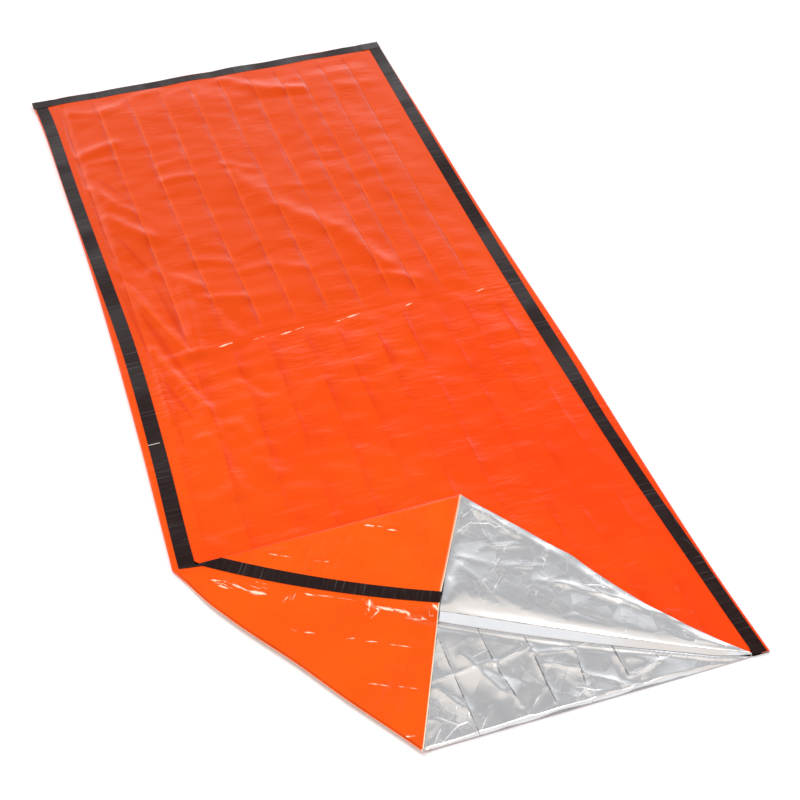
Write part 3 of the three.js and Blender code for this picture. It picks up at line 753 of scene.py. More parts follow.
# Soft ridges where the film stands up, and troughs, whose heights are below 0: start and end, width, height
BROAD_RIDGES = [
    (-0.060, 1.650, 0.010, 1.500, 0.026, 0.0045),
    (0.010, 1.490, 0.120, 1.350, 0.024, 0.0062),
    (0.120, 1.350, 0.180, 1.200, 0.022, 0.0058),
    (0.165, 1.170, 0.220, 1.130, 0.016, 0.0040),
    (-0.300, 2.015, -0.160, 2.085, 0.022, 0.0045),
    (0.020, 2.070, 0.110, 1.995, 0.022, 0.0060),
    (0.110, 1.995, 0.195, 1.960, 0.020, 0.0060),
    (-0.380, 2.040, -0.305, 2.008, 0.012, 0.0025),
    (-0.385, 1.845, -0.300, 1.865, 0.018, 0.0055),
    (-0.370, 1.805, -0.310, 1.800, 0.010, 0.0025),
    (-0.380, 1.690, -0.350, 1.620, 0.015, 0.0045),
    (-0.350, 1.620, -0.305, 1.570, 0.014, 0.0035),
    (-0.370, 1.570, -0.295, 1.470, 0.016, 0.0050),
    (-0.210, 1.740, -0.150, 1.752, 0.010, 0.0020),
    (-0.215, 1.675, -0.150, 1.672, 0.013, 0.0040),
    (-0.065, 1.690, -0.020, 1.660, 0.014, 0.0035),
    (-0.125, 1.355, -0.065, 1.375, 0.012, 0.0025),
    (-0.215, 1.350, -0.140, 1.320, 0.014, 0.0030),
    (-0.125, 1.280, -0.050, 1.285, 0.012, 0.0025),
    (-0.050, 1.280, 0.020, 1.240, 0.014, 0.0030),
    (-0.235, 1.220, -0.140, 1.190, 0.010, 0.0028),
    (-0.310, 1.345, -0.230, 1.262, 0.016, 0.0035),
    (-0.378, 1.316, -0.330, 1.153, 0.011, 0.0040),
    (-0.330, 1.153, -0.295, 1.048, 0.011, 0.0040),
    (-0.364, 1.089, -0.338, 0.991, 0.010, 0.0040),
    (-0.338, 0.991, -0.295, 0.868, 0.010, 0.0044),
    (-0.295, 0.868, -0.291, 0.800, 0.012, 0.0030),
    (-0.400, 1.395, -0.370, 1.350, 0.010, 0.0025),
    (-0.320, 0.800, -0.290, 0.640, 0.020, 0.0040),
    (-0.255, 0.810, -0.220, 0.660, 0.020, 0.0036),
    (0.290, 1.950, 0.330, 1.930, 0.012, 0.0018),
    (0.100, 1.780, 0.130, 1.755, 0.012, 0.0015),
    (0.060, 1.560, 0.120, 1.540, 0.012, 0.0015),
    (-0.259, 1.290, -0.276, 1.048, 0.012, 0.0035),
    (-0.369, 1.072, -0.369, 0.870, 0.008, 0.0028),
    (-0.351, 1.403, -0.333, 1.350, 0.012, -0.0030),
    (-0.199, 1.185, -0.173, 1.090, 0.014, -0.0035),
    (-0.212, 0.955, -0.168, 0.885, 0.013, -0.0030),
    (-0.262, 0.797, -0.240, 0.725, 0.012, -0.0025),
    (-0.394, 2.090, -0.393, 1.720, 0.006, -0.0035),
    (-0.388, 1.690, -0.384, 1.420, 0.006, -0.0028),
]


def broad_ridges(x, y):
    """Height of the ridges, and of the troughs among them: the strongest of each at a place."""
    ridge, trough = np.zeros(x.shape), np.zeros(x.shape)
    for *ends, width, tall in BROAD_RIDGES:
        height = tall * np.exp(-(away_from(x, y, *ends) / width) ** 2)
        ridge, trough = np.maximum(ridge, height), np.minimum(trough, height)
    return ridge + trough


def tip_fold_radius(share):
    """The fold's radius, at shares of its way from the apex to the tip."""
    return lerp(LEAST_RADIUS, TIP_FOLD_RADIUS, share)


def tip_line(share):
    """The fold from the apex to the tip."""
    line = lerp(APEX, TIP, share[:, None])
    line[:, 2] = lerp(SEAM_HEIGHT + 2 * LEAST_RADIUS, TIP[2] - 2 * TIP_FOLD_RADIUS, share)
    return line


def turned_over(line, outward, radius, turn):
    """A round fold: half a turn, from the lower layer at 0 to the upper layer at 1."""
    point = line.copy()
    point[:, :2] += outward * (radius * math.sin(math.pi * turn))[:, None]
    point[:, 2] += radius * (1 - math.cos(math.pi * turn))
    return point


# Painted shade in hollows near the left seam: start and end, strength. Those below 0 are painted highlights
# on the long ridges.
SHADED_HOLLOWS = [
    (-0.392, 1.333, -0.371, 1.034, 0.7),
    (-0.365, 1.217, -0.314, 0.983, 1.0),
    (-0.314, 0.983, -0.296, 0.883, 0.8),
    (-0.361, 0.985, -0.327, 0.850, 0.7),
    (-0.318, 1.317, -0.294, 1.073, 0.8),
    (-0.371, 1.520, -0.310, 1.330, 0.8),
    (-0.369, 1.745, -0.315, 1.635, 0.7),
    (-0.402, 2.060, -0.388, 1.742, 0.6),
    (-0.388, 1.720, -0.390, 1.449, 0.6),
    (-0.362, 0.861, -0.364, 0.782, 0.5),
    (-0.378, 1.316, -0.295, 1.048, -0.5),
    (-0.364, 1.089, -0.338, 0.991, -0.5),
    (-0.338, 0.991, -0.295, 0.868, -0.5),
]

# Rows that lie over the bottom panel, from the foot to the fold, and their places in the pattern
HALF_ROWS = 106
BORDER_ROWS = 4
WANDER = 0.003
fold_share = FOLD_START + (1 - FOLD_START) * mouth_share
crease = crease_line(fold_share)
crease[:, 2] -= CREASE_SAG * np.sin(np.pi * fold_share)
half_rows = HALF + np.array([0.008, 0.0035, 0.001, -0.001, -0.0035, -0.008])
foot_rows = np.linspace(FOOT_SEAM - FLAT_BORDER, half_rows[0], HALF_ROWS)[:-1]
foot_border = np.linspace(FOOT_SEAM, FOOT_SEAM - FLAT_BORDER, BORDER_ROWS)[:-1]
straight_rows = np.concatenate([foot_border, foot_rows, half_rows])
mouth_steps = np.linspace(0, 1, HALF_ROWS)[1:]
y = np.concatenate([
    np.tile(straight_rows[:, None], len(columns)),
    lerp(half_rows[-1], crease[None, :, 1], mouth_steps[:, None]),
])
to_foot = smooth(y, HALF - 0.02, HALF + 0.02)
left, right = side("left_seam", y), side("right_seam", y)
x = lerp(left, right, lerp(mouth_share, foot_share, to_foot))
wander = WANDER * ripples(np.stack([x, y], axis=-1), 0.22, 23.0)
x += wander * smooth(np.minimum(x - left, right - x), 0, 0.05)
x[-1] = crease[:, 0]
x[-8:-1] = lerp(x[-9], crease[:, 0], np.linspace(0, 1, 9)[1:-1, None])
lying_pattern = np.stack([x, y], axis=-1)

# The film's relief. Each pair is a value on the mouth half, where the packing creases stand up, and one on
# the foot half, where they lie lower than the film beside them.
CREASE_HEIGHT = (0.0019, -0.0020)
CREASE_WIDTH = (0.012, 0.004)
SWELLS = 0.0044
SMALL_SWELLS = (0.0034, 0.0018)
RIDGE_STRENGTH = (1.35, 0.95)
HALF_CREASE_DEPTH = 0.0006
HALF_CREASE_WIDTH = 0.004
from_seam = np.minimum(np.minimum(x - left, right - x), FOOT_SEAM - y)
free = smooth(from_seam, FLAT_BORDER, LOFT_BORDER) * smooth(y, 0.52, 0.9)
ridged = smooth(from_seam, 0.012, 0.04)
loose = smooth(from_seam, FLAT_BORDER, 0.06)
from_half = smooth(np.abs(y - HALF), 0.010, 0.06)
uneven = lerp(0.75, 1.1, to_foot) + lerp(1.3, 0.7, to_foot) * ripples(lying_pattern * [6, 1], 0.11, 21.0)
uneven = np.clip(uneven, 0.15, 1.6) * from_half
packed = uneven * lerp(*CREASE_HEIGHT, to_foot)
packed = packed * np.exp(-np.abs(past_crease) / lerp(*CREASE_WIDTH, to_foot))
packed *= smooth(FOOT_SEAM - y, 0.03, 0.09)
halved = -HALF_CREASE_DEPTH * np.exp(-np.abs(y - HALF) / HALF_CREASE_WIDTH)
swells = SWELLS * ripples(lying_pattern, 0.16, 5.0)
swells += lerp(*SMALL_SWELLS, to_foot) * ripples(lying_pattern * [1, 1.6], 0.055, 9.0)
to_fold = np.ones_like(y)
to_fold[len(straight_rows):] = smooth(mouth_steps, 1, 0.9)[:, None]
z = SEAM_HEIGHT + free * LOFT + foot_wave(x) * smooth(y, FOOT_SEAM - 0.08, FOOT_SEAM)
z += lerp(*RIDGE_STRENGTH, smooth(y, 1.1, 1.35)) * ridged * broad_ridges(x, y)
z += loose * to_fold * (packed + halved + swells * lerp(0.8, 1, smooth(y, 0.8, 1.3)))
sag = np.zeros_like(y)
sag[len(straight_rows):] = smooth(mouth_steps, 0.8, 1)[:, None]
z -= sag * (CREASE_SAG * np.sin(np.pi * fold_share) + MOUTH_END_DROP * fold_share)
lying = np.stack([x, y, z], axis=-1)
lying[-1] = crease

# The fold that opens the mouth: out over the bottom panel, round a narrow nose, and back up to the flap
NOSE = 0.0005
NOSE_CLEARANCE = 0.0009
OUT_SHARE, NOSE_SHARE, BACK_SHARE = 0.3, 0.25, 0.45
FOLD_ROWS = 21
in_view = smooth(fold_share, 0.26, 0.40) * smooth(fold_share, 1.0, 0.985)
front = fold_front(fold_share)
nose = crease[:, :2] + crease_out * front[:, None]
radius = lerp(LEAST_RADIUS, MOUTH_FOLD_RADIUS, np.sin(np.pi * fold_share))
wider = (OPEN_FOLD_RADIUS - MOUTH_FOLD_RADIUS) * smooth(fold_share, 0.38, 0.50)
radius += wider * smooth(fold_share, 1, 0.6)
low = lerp(crease[:, 2], GROUND + lifted(*nose.T) + NOSE_CLEARANCE, in_view)
high = crease[:, 2] + 2 * radius
crease_turn, crease_pattern = [], []
for step in np.linspace(0, 1, FOLD_ROWS)[1:]:
    if step < OUT_SHARE:
        share = step / OUT_SHARE
        out, up = front * share, lerp(crease[:, 2], low, smooth(share, 0, 1))
    elif step < OUT_SHARE + NOSE_SHARE:
        angle = math.pi * (step - OUT_SHARE) / NOSE_SHARE
        out, up = front + NOSE * math.sin(angle), low + NOSE * (1 - math.cos(angle))
    else:
        share = (step - OUT_SHARE - NOSE_SHARE) / BACK_SHARE
        out, up = front * (1 - share), lerp(low + 2 * NOSE, high, share)
    out = lerp(radius * math.sin(math.pi * step), out, in_view)
    up = lerp(crease[:, 2] + radius * (1 - math.cos(math.pi * step)), up, in_view)
    crease_turn.append(np.column_stack([crease[:, :2] + crease_out * out[:, None], up]))
    crease_pattern.append(crease[:, :2] + crease_out * out[:, None])

# The flap between the two folds, inside up, and the panel's own corner on top of it, outside up
FLAP_ROWS = 77
TIP_ROWS = 9
CORNER_ROWS = 39
PILLOW = 0.0065
PILLOW_WIDTH = 0.054
LEAST_PILLOW_WIDTH = 0.015
TIP_FROM_CREASE = 0.254
HEM_CURL = 0.0018
CORNER_DROOP = 0.004
pattern_apex = APEX[:2]
pattern_end = np.array([MOUTH_END[0], 0.0])
pattern_tip = np.array([MOUTH_END[0] - np.hypot(*(TIP - MOUTH_END)[:2]), 0.0])
pattern_corner = pattern_tip - np.array([np.hypot(*(TIP - SEAM_END)[:2]), 0.0])
tip_out = left_of(APEX, TIP)
edge_out = left_of(MOUTH_END, TIP)
tips = tip_line(fold_share)
tip_radius = tip_fold_radius(fold_share)
tip_turn = [turned_over(tips, tip_out, tip_radius, turn) for turn in np.linspace(0, 1, TIP_ROWS)[1:]]
seam = seam_line(fold_share)
pillow_share = np.clip((fold_share - 0.25) / 0.75, 0, 1)
pillow_width = LEAST_PILLOW_WIDTH + PILLOW_WIDTH * np.sin(np.pi * pillow_share)

flap, flap_pattern, pillow, drawn_up = [], [], [], []
flap_shares = np.linspace(0, 1, FLAP_ROWS)[1:]
for share in flap_shares:
    row = lerp(crease_turn[-1], tips, share)
    bowed = FREE_EDGE_BOW * math.sin(math.pi * min(share / FREE_EDGE_BOW_SHARE, 1))
    row[:, :2] += edge_out * (fold_share * bowed)[:, None]
    place = lerp(pattern_apex, lerp(pattern_end, pattern_tip, share), fold_share[:, None])
    place += (crease[:, :2] - lerp(pattern_apex, pattern_end, fold_share[:, None])) * (1 - share)
    rise = share * fold_share * TIP_FROM_CREASE / pillow_width
    pillow.append(PILLOW * np.sin(np.pi * fold_share) * rise * np.exp(1 - rise))
    drawn_up.append(smooth(rise, 0.8, 0.2) * in_view)
    flap.append(row)
    flap_pattern.append(place)
flap, flap_pattern = np.array(flap), np.array(flap_pattern)

# Creases of the flap: those of the packing, a cross crease, and others placed where they show
FLAP_CREASES = [(u, 0.0, u, 0.5, 0.003, 0.0006) for u in (
    -0.375, -0.295, -0.21, -0.135, -0.055, 0.018, 0.09, 0.157, 0.23, 0.29, 0.365)]
FLAP_CREASES += [(-0.16, 0.152, 0.20, 0.152, 0.004, 0.0008)]
FLAP_FOLDS = [
    (0.050, 0.410, 0.095, 0.430, 0.003, 0.0008),
    (0.070, 0.440, 0.110, 0.460, 0.003, 0.0008),
    (0.100, 0.420, 0.105, 0.370, 0.003, 0.0010),
    (0.160, 0.400, 0.160, 0.370, 0.003, 0.0008),
    (0.095, 0.362, 0.150, 0.350, 0.004, 0.0013),
    (0.030, 0.365, 0.070, 0.330, 0.003, 0.0010),
    (0.060, 0.280, 0.135, 0.360, 0.003, 0.0010),
    (0.110, 0.310, 0.170, 0.290, 0.004, 0.0013),
    (0.135, 0.230, 0.195, 0.320, 0.003, 0.0010),
    (0.150, 0.262, 0.210, 0.230, 0.003, 0.0010),
    (0.190, 0.240, 0.270, 0.180, 0.005, 0.0018),
    (0.270, 0.180, 0.350, 0.105, 0.005, 0.0018),
    (0.350, 0.105, 0.415, 0.030, 0.003, 0.0008),
    (0.170, 0.300, 0.210, 0.330, 0.003, 0.0008),
    (0.230, 0.240, 0.250, 0.200, 0.003, 0.0008),
    (0.300, 0.190, 0.330, 0.150, 0.003, 0.0008),
]
covered_from = left_of(TIP, SEAM_END)
seen = smooth(((flap[..., :2] - TIP[:2]) * covered_from).sum(-1), -0.004, 0.03)
flap_across = flap_shares[:, None]
between_folds = smooth(flap_across, 0, 0.06) * smooth(flap_across, 1, 0.94)
between_folds = between_folds * (1 - 0.85 * np.array(drawn_up))
flap_scattered = scattered_folds(31, 40, (-0.42, 0.0), (0.44, 0.42), 0.08, 0.0009)
flap_relief = fold_height(flap_pattern, FLAP_CREASES) + fold_height(flap[..., :2], FLAP_FOLDS)
flap_relief += fold_height(flap_pattern, flap_scattered)
hem = smooth(fold_share, 0.968, 1) * smooth(flap_across, 0, 0.1)
hem = hem * (1 + 1.1 * ripples(flap_pattern, 0.05, 13.0))
flap[..., 2] += seen * (np.array(pillow) + between_folds * flap_relief) - HEM_CURL * hem * seen

# The panel's own corner, with wrinkles beside its painted glints, droops at its cut edge
TOP_CORNER_FOLDS = [
    (-0.105, 0.490, -0.040, 0.455, 0.005, 0.0024),
    (-0.210, 0.445, -0.185, 0.430, 0.004, 0.0016),
    (-0.280, 0.480, -0.250, 0.473, 0.004, 0.0013),
    (-0.190, 0.400, -0.150, 0.395, 0.006, 0.0012),
]
corner_shares = np.linspace(0, 1, CORNER_ROWS)[1:, None, None]
corner = lerp(tip_turn[-1], seam, corner_shares)
corner_pattern = lerp(pattern_apex, lerp(pattern_tip, pattern_corner, corner_shares), fold_share[:, None])
top_relief = fold_height(corner_pattern, FLAP_CREASES) * 0.5
top_relief = top_relief + fold_height(corner[..., :2], TOP_CORNER_FOLDS)
to_seam = np.linalg.norm(corner - corner[-1], axis=-1)
top_relief *= smooth(corner_shares[..., 0], 0, 0.1) * smooth(to_seam, 0.016, 0.026)
corner[..., 2] += smooth(fold_share, FOLD_START, 0.3) * top_relief
drooped = smooth(fold_share, 0.93, 1) * smooth(to_seam, 0.016, 0.06)
drooped = drooped * smooth(corner_shares[..., 0], 0, 0.12)
corner[..., 2] -= CORNER_DROOP * drooped

top_rows = np.concatenate([lying, crease_turn, flap, tip_turn, corner])
tip_pattern = np.tile(flap_pattern[-1], (len(tip_turn), 1, 1))
top_pattern = np.concatenate([lying_pattern, crease_pattern, flap_pattern, tip_pattern, corner_pattern])
top_shape = top_rows.shape[:2]
top_ids = np.arange(top_rows[..., 0].size).reshape(top_shape)
lying_rows = slice(0, len(lying))
flap_rows = slice(len(lying) + len(crease_turn), len(lying) + len(crease_turn) + len(flap))
corner_rows = slice(len(top_rows) - len(corner), len(top_rows))

# Short white dashes on the fold across the half: start and end, strength
WHITE_DASHES = [
    (-0.232, 1.051, -0.202, 1.057, 0.7),
    (-0.157, 1.053, -0.135, 1.055, 0.5),
    (-0.106, 1.049, -0.051, 1.058, 0.7),
    (0.018, 1.054, 0.076, 1.062, 0.7),
    (0.175, 1.051, 0.195, 1.057, 0.6),
    (0.335, 1.050, 0.358, 1.055, 0.6),
]
dashes = (lying_rows, lying_pattern, WHITE_DASHES)
from_top_line, by_top_line = line_marks(top_shape, dashes, (corner_rows, corner, GLINT_LINES))
from_hollow, by_hollow = line_marks(top_shape, (lying_rows, lying_pattern, SHADED_HOLLOWS))

# Painted highlight on the silver along the flap's folds and the nose of the fold that opens the mouth, and a
# painted
# # shade line behind that nose
flap_lines = [(*fold[:4], -0.8) for fold in FLAP_FOLDS]
from_flap_crease, by_flap_crease = line_marks(top_shape, (flap_rows, flap, flap_lines))
by_fold = slice(len(lying), flap_rows.start + 6)
from_fold = np.linalg.norm(top_rows[by_fold] - crease_turn[-1], axis=-1)
closer = from_fold < np.abs(from_flap_crease[by_fold])
from_flap_crease[by_fold] = np.where(closer, from_fold, from_flap_crease[by_fold])
by_flap_crease[by_fold] = np.where(closer, 0.6 * in_view * (from_fold < 0.012), by_flap_crease[by_fold])
nose_rows = slice(len(lying) + 5, len(lying) + 10)
from_flap_crease[nose_rows], by_flap_crease[nose_rows] = 0, -in_view

# The film is drawn tight at that fold. Painted shade darkens the film beside the packing creases and on the
# fold to the tip,
# # and on the foot half a painted highlight lightens one side of each crease
drawn = np.zeros(top_shape)
drawn[len(lying):flap_rows.start] = in_view
drawn[flap_rows] = drawn_up
crease_shading = np.zeros(top_shape)
before_crease = np.exp(np.minimum(past_crease, 0) / lerp(0.0015, 0.006, to_foot))
after_crease = np.exp(-np.maximum(past_crease, 0) / lerp(0.016, 0.0012, to_foot))
lit_side = to_foot * smooth(past_crease, 0, 0.0015) * np.exp(-np.maximum(past_crease - 0.0015, 0) / 0.003)
dark_side = lerp(lerp(0.4, 0.8, smooth(y, 0.6, 1.0)), 1.0, to_foot) * before_crease * after_crease
crease_shading[lying_rows] = (dark_side - 0.8 * lit_side) * loose * uneven
crease_shading[flap_rows.stop:corner_rows.start] = 0.6
# Painted highlights: a pale line along the corner's edge at the mouth, and the whole turned-over corner
# painted paler
top_pale_edge, top_turned_back = np.zeros(top_shape), np.zeros(top_shape)
top_pale_edge[corner_rows, -1] = 1
top_turned_back[corner_rows] = 1

top_points, top_places = top_rows.reshape(-1, 3), top_pattern.reshape(-1, 2)
top_film = film_sheet("top_film", top_points, top_places, grid_faces(top_ids, upward=False), {
    "from_line": from_top_line, "by_line": by_top_line, "crease_shading": crease_shading, "drawn": drawn,
    "turned_back": top_turned_back, "pale_edge": top_pale_edge, "from_hollow": from_hollow,
    "by_hollow": by_hollow, "from_crease": from_flap_crease, "by_crease": by_flap_crease})
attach(top_film, "root")
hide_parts("top_panel")

# Seam tapes
# Strips of thin black tape, pressed over the seams so that each holds both panels. The side tapes run
# from the foot to the mouth, and the foot tape lies across their ends. The tape is stiffer than the
# film and puckers across.
TAPE_WIDTH = 0.03
TAPE_THICKNESS = 0.0005
TAPE_RISE = 0.0006
TAPE_HALF = 6
TAPE_ACROSS = np.linspace(-0.5, 0.5, 2 * TAPE_HALF + 1)
TAPE_STEP = 0.003
PUCKER_HEIGHT = 0.0003
PUCKER_SPACING = 0.009

TAPE_BLACK = (0.013, 0.0044, 0.0038, 1)
PUCKER_SHEEN_BLACK = (0.027, 0.0135, 0.012, 1)
LINE_SHEEN_GREY = (0.060, 0.050, 0.048, 1)
WORN_WHITE = (0.80, 0.72, 0.66, 1)
black_tape, shader, pattern = new_finish("black_tape")
puckers = pattern.noise(30.0, 4.0, (0.5, 5.0, 1.0))
lines = pattern.noise(24.0, 2.0, (0.3, 9.0, 1.0)).between(0.58, 0.68)
lines = lines * pattern.noise(9.0).between(0.4, 0.6)
height = puckers * 0.0005 + lines * 0.0003
# Painted sheen: the pucker crests and thin lines across the tape are painted lighter
colour = puckers.between(0.4, 0.8).mix(TAPE_BLACK, PUCKER_SHEEN_BLACK)
colour = lines.mix(colour, LINE_SHEEN_GREY)
wear_and_glints = mark("wear_and_glints").between(0.6, 0.9)
colour = wear_and_glints.mix(colour, WORN_WHITE)
gloss = mark("gloss") * (0.25 + 0.75 * pattern.noise(7.0, 3.0, (0.3, 1.0, 1.0)).between(0.35, 0.65))
roughness = puckers * 0.2 + 0.3
connect(shader, Base_Color=colour, Roughness=roughness, Normal=height.bump(), Coat_Weight=gloss)
shader.inputs["Specular IOR Level"].default_value = 0.06
shader.inputs["Coat Roughness"].default_value = 0.3
shader.inputs["Coat IOR"].default_value = 1.36


def tape_tree():
    """Puckers a flat ribbon across its length and gives it thickness."""
    tree = bpy.data.node_groups.new("seam_tape", "GeometryNodeTree")
    face = tree.interface
    face.new_socket("Ribbon", in_out="INPUT", socket_type="NodeSocketGeometry")
    for name in ("Thickness", "Pucker Height", "Pucker Spacing", "Seed"):
        face.new_socket(name, in_out="INPUT", socket_type="NodeSocketFloat")
    face.new_socket("Tape", in_out="INPUT", socket_type="NodeSocketMaterial")
    face.new_socket("Tape", in_out="OUTPUT", socket_type="NodeSocketGeometry")
    start = Wire(tree)
    given = tree.nodes.new("NodeGroupInput")
    ribbon, thickness, tall, spacing, seed, tape = (Wire(tree, socket) for socket in given.outputs[:6])
    place = start.node("GeometryNodeInputNamedAttribute", {"data_type": "FLOAT_VECTOR"},
                       {"Name": "pattern"})
    where = start.node("ShaderNodeCombineXYZ", None,
                       {"X": place.part(0) / (spacing * 4), "Y": place.part(1) / spacing})
    uneven = start.node("ShaderNodeTexNoise", {"noise_dimensions": "4D"},
                        {"Vector": where, "W": seed, "Scale": 1.0, "Detail": 2.0})
    lift = start.node("ShaderNodeCombineXYZ", None, {"Z": (uneven - 0.5) * 2 * tall})
    puckered = start.node("GeometryNodeSetPosition", None, {"Geometry": ribbon, "Offset": lift})
    raised = start.node("GeometryNodeExtrudeMesh", {"mode": "FACES"},
                        {"Mesh": puckered, "Offset Scale": thickness, "Individual": False})
    under = start.node("GeometryNodeFlipFaces", None, {"Mesh": puckered})
    joined = tree.nodes.new("GeometryNodeJoinGeometry")
    tree.links.new(raised.socket, joined.inputs[0])
    tree.links.new(under.socket, joined.inputs[0])
    closed = start.node("GeometryNodeMergeByDistance", None,
                        {"Geometry": Wire(tree, joined.outputs[0]), "Distance": 0.00001})
    real = start.node("GeometryNodeRealizeInstances", None, {"Geometry": closed})
    finished = start.node("GeometryNodeSetMaterial", None, {"Geometry": real, "Material": tape})
    output = tree.nodes.new("NodeGroupOutput")
    tree.links.new(finished.socket, output.inputs[0])
    return tree


TAPE_TREE = tape_tree()


def seam_tape(name, rows, along, seed, gloss, wear_and_glints):
    """A tape from rows of points across it: how far along each row is, its gloss, and where it is worn."""
    points = (rows + np.array([0, 0, TAPE_RISE])).reshape(-1, 3)
    ids = np.arange(len(points)).reshape(rows.shape[:2])
    places = np.stack(np.broadcast_arrays(TAPE_ACROSS * TAPE_WIDTH, along[:, None]), axis=-1)
    marks = {"gloss": np.repeat(gloss, len(TAPE_ACROSS)), "wear_and_glints": wear_and_glints}
    tape = thin_surface(name, points, places.reshape(-1, 2), grid_faces(ids, upward=False), marks)
    made = tape.modifiers.new("tape", "NODES")
    made.node_group = TAPE_TREE
    values = {"Thickness": TAPE_THICKNESS, "Pucker Height": PUCKER_HEIGHT,
              "Pucker Spacing": PUCKER_SPACING, "Seed": seed}
    for socket in TAPE_TREE.interface.items_tree:
        if socket.in_out == "INPUT" and socket.name in values:
            made[socket.identifier] = values[socket.name]
        elif socket.in_out == "INPUT" and socket.socket_type == "NodeSocketMaterial":
            made[socket.identifier] = black_tape
    apply_modifiers(tape)
    return tape


def side_tape_rows(name, ys):
    """The flat stretch of a side tape, at distances from the mouth."""
    middle = np.stack([side(name, ys), ys, np.full(len(ys), SEAM_HEIGHT)], axis=1)
    rows = np.repeat(middle[:, None], len(TAPE_ACROSS), axis=1)
    rows[..., 0] += TAPE_ACROSS * TAPE_WIDTH
    return rows


def folded_tape_rows(shares):
    """The tape on the opened corner: it widens from a point at the apex, then lies half on each panel."""
    on_bottom = np.array([0.003, 0.012])
    on_top = np.array([0.026, 0.0125])
    middle = seam_line(shares)
    edge_height = np.interp(shares, opened[::-1], left_top[::-1])
    edge_top = np.column_stack([lerp(EDGE_TURN, EDGE_END, shares[:, None]), edge_height])
    tip_top = turned_over(tip_line(shares), tip_out, tip_fold_radius(shares), 1)
    to_edge, to_tip = edge_top - middle, tip_top - middle
    near_share = lerp(*on_bottom, shares) / np.linalg.norm(to_edge, axis=1)
    far_share = np.minimum(lerp(*on_top, shares) / np.linalg.norm(to_tip, axis=1), 0.95)
    near_side = middle + to_edge * near_share[:, None]
    far_side = middle + to_tip * far_share[:, None]
    before = lerp(near_side[:, None], middle[:, None], np.linspace(0, 1, TAPE_HALF + 1)[:, None])
    after = lerp(middle[:, None], far_side[:, None], np.linspace(0, 1, TAPE_HALF + 1)[1:, None])
    return np.concatenate([before, after], axis=1)


# The left tape is worn white across at one place
LEFT_WORN = 0.821
left_ys = np.arange(FOOT_SEAM, APEX[1], -TAPE_STEP)
left_shares = np.linspace(FOLD_START, 1, 150)
left_rows = np.concatenate([side_tape_rows("left_seam", left_ys), folded_tape_rows(left_shares)])
left_steps = np.linalg.norm(np.diff(left_rows[:, TAPE_HALF], axis=0), axis=1)
left_worn = np.zeros(left_rows.shape[:2])
left_worn[np.argmin(np.abs(left_ys - LEFT_WORN)), :10] = 1
left_gloss = np.concatenate([lerp(0.45, 1.0, smooth(left_ys, 0.5, 1.2)), np.full(len(left_shares), 0.3)])
left_along = np.concatenate([[0], np.cumsum(left_steps)])
left_tape = seam_tape("left_tape", left_rows, left_along, 1.0, left_gloss, left_worn)
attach(left_tape, "root")
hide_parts("left_seam_tape")

# The right tape has a few wrinkles along it near the mouth, where its outer half is narrower
RIGHT_NARROWED = 0.35
RIGHT_TAPE_FOLDS = [
    (0.444, 0.342, 0.441, 0.300, 0.003, 0.0020),
    (0.439, 0.262, 0.453, 0.210, 0.003, 0.0022),
    (0.450, 0.300, 0.454, 0.245, 0.003, 0.0018),
]
right_ys = np.arange(FOOT_SEAM, 0, -TAPE_STEP)
right_rows = side_tape_rows("right_seam", right_ys)
outer_half = TAPE_ACROSS[TAPE_HALF + 1:] * TAPE_WIDTH
right_rows[:, TAPE_HALF + 1:, 0] -= outer_half * RIGHT_NARROWED * smooth(right_ys, 0.8, 0.6)[:, None]
right_rows[..., 2] += fold_height(right_rows[..., :2], RIGHT_TAPE_FOLDS)
right_rows[..., 2] -= right_drop(right_ys)[:, None]
right_gloss = 1 - 0.9 * np.exp(-((right_ys - 1.45) / 0.18) ** 4) - 0.6 * smooth(right_ys, 0.75, 0.55)
right_worn = np.zeros(right_rows.shape[:2])
right_tape = seam_tape("right_tape", right_rows, FOOT_SEAM - right_ys, 2.0, right_gloss, right_worn)
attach(right_tape, "root")
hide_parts("right_seam_tape")

# The foot tape waves a little, is wider towards the mouth, and steps up over the ends of the side tapes
FOOT_STEPS = 306
FOOT_STEP_UP = 0.0013
FOOT_WIDER = 1.25
foot_xs = np.linspace(FOOT_LEFT, FOOT_RIGHT, FOOT_STEPS)
from_ends = np.minimum(foot_xs - FOOT_LEFT, FOOT_RIGHT - foot_xs)
foot_middle = np.column_stack([foot_xs, np.full(FOOT_STEPS, FOOT_SEAM), SEAM_HEIGHT + foot_wave(foot_xs)])
foot_middle[:, 2] += FOOT_STEP_UP * smooth(from_ends, 0.06, 0.045)
foot_width = 0.9 + 0.25 * ripples(np.column_stack([foot_xs, foot_xs * 0]), 0.11, 19.0)
foot_tape_rows = np.repeat(foot_middle[:, None], len(TAPE_ACROSS), axis=1)
foot_across = TAPE_ACROSS * TAPE_WIDTH * foot_width[:, None]
foot_tape_rows[..., 1] -= foot_across * np.where(TAPE_ACROSS > 0, FOOT_WIDER, 1)
foot_worn = np.zeros(foot_tape_rows.shape[:2])
foot_gloss = np.ones(FOOT_STEPS)
foot_tape = seam_tape("foot_tape", foot_tape_rows, foot_xs - FOOT_LEFT, 3.0, foot_gloss, foot_worn)
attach(foot_tape, "root")
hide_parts("foot_seam_tape")

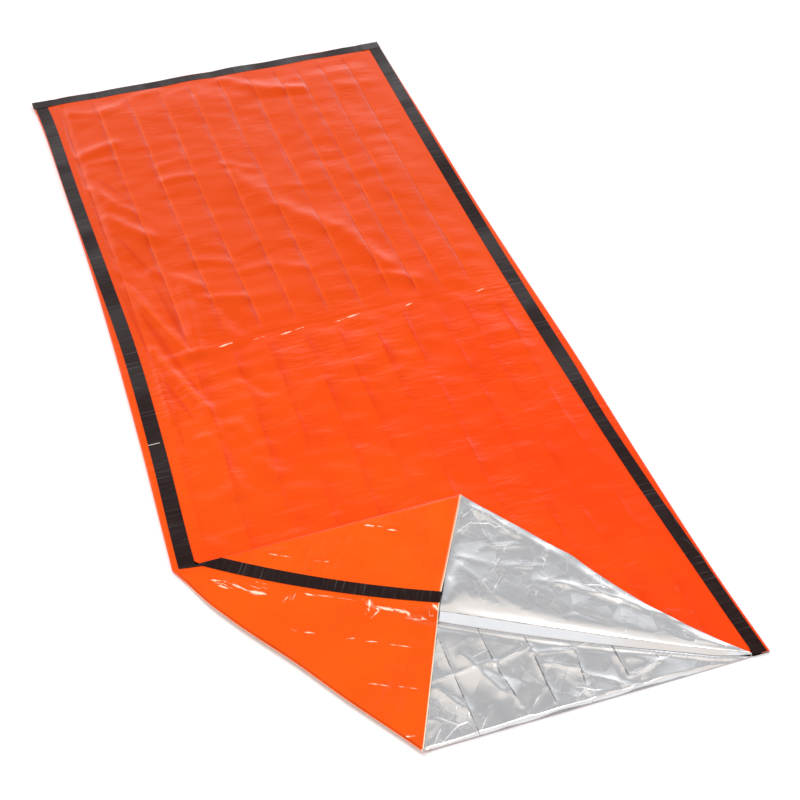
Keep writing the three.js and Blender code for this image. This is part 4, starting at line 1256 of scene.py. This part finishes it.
# Studio
# A plain white floor and a soft dome, bright low beyond the foot, overhead, at both sides and towards
# the viewer, with a soft box above the near half and a key light from beyond the foot. The camera
# stands above the mouth and looks towards the foot.
FLOOR = 20
FLOOR_HEIGHT = -0.0004
floor_mesh = bpy.data.meshes.new("floor")
floor_corners = [(FLOOR * x, FLOOR * y, FLOOR_HEIGHT) for x, y in ((-1, -1), (1, -1), (1, 1), (-1, 1))]
floor_mesh.from_pydata(floor_corners, [], [(0, 1, 2, 3)])
floor = bpy.data.objects.new("floor", floor_mesh)
bpy.context.collection.objects.link(floor)
floor_paint = bpy.data.materials.new("floor_paint")
floor_paint.use_nodes = True
paint = floor_paint.node_tree.nodes["Principled BSDF"]
paint.inputs["Base Color"].default_value = (0.97, 0.97, 0.97, 1)
paint.inputs["Roughness"].default_value = 0.9
paint.inputs["Specular IOR Level"].default_value = 0.1
floor_mesh.materials.append(floor_paint)

world = bpy.data.worlds.new("dome")
bpy.context.scene.world = world
world.use_nodes = True
background = world.node_tree.nodes["Background"]
direction = Wire(world.node_tree).node("ShaderNodeTexCoord", None, None, "Generated")
sideways, behind, up = (direction.part(axis) for axis in range(3))
beyond = behind.between(0.0, 0.5)
light = 0.18 + 0.32 * behind.between(0.0, 0.4)
light = light + 0.6 * (1 - up.between(0.55, 0.75)) * behind.between(-0.2, 0.5)
light = light + 0.6 * (1 - up.between(0.15, 0.45)) * beyond
light = light + 0.9 * (1 - sideways.between(-0.35, 0.10)) * (1 - up.between(0.5, 0.7)) * beyond
light = light + 0.6 * sideways.between(0.12, 0.26) * (1 - up.between(0.48, 0.56)) * beyond
light = light + 0.35 * (-behind).between(0.2, 0.5) * (1 - up.between(0.2, 0.35))
light = light + 0.45 * abs(sideways).between(0.6, 0.85)
light = light * (0.75 + 0.5 * direction.noise(2.4, 1.0))
light = light + 0.95 * (-behind).between(0.2, 0.4) * up.between(0.30, 0.45) * (1 - up.between(0.86, 0.92))
overhead = up.between(0.76, 0.85)
light = (light + (1.0 - light) * overhead) * 0.88
tint = overhead.mix((0.98, 0.99, 1.02, 1), (1.03, 0.97, 0.92, 1))
world.node_tree.links.new(light.socket, background.inputs["Strength"])
world.node_tree.links.new(tint.socket, background.inputs["Color"])

key = bpy.data.objects.new("key", bpy.data.lights.new("key", "SUN"))
key.data.energy = 0.75
key.data.angle = math.radians(5)
key.visible_glossy = False
key.rotation_euler = Vector((0.102, -0.579, -0.809)).to_track_quat("-Z", "Y").to_euler()
bpy.context.collection.objects.link(key)

soft_box = bpy.data.objects.new("soft_box", bpy.data.lights.new("soft_box", "AREA"))
soft_box.data.energy = 10
soft_box.data.size = 0.6
soft_box.location = (0.75, -0.35, 3.0)
soft_box.rotation_euler = Vector((-0.75, -0.15, -3.0)).to_track_quat("-Z", "Y").to_euler()
bpy.context.collection.objects.link(soft_box)

camera = bpy.data.objects.new("camera", bpy.data.cameras.new("camera"))
forward = Vector((0.22472, 0.69295, -0.68507))
rightward = Vector((0.94833, -0.31714, -0.00972))
axes = Matrix((rightward, rightward.cross(forward), -forward)).transposed().to_4x4()
camera.matrix_world = Matrix.Translation((-0.5956, -2.3310, 2.0342)) @ axes
camera.data.sensor_width = 36
camera.data.lens = 66.96
bpy.context.collection.objects.link(camera)
bpy.context.scene.camera = camera
bpy.context.scene.view_settings.view_transform = "Standard"
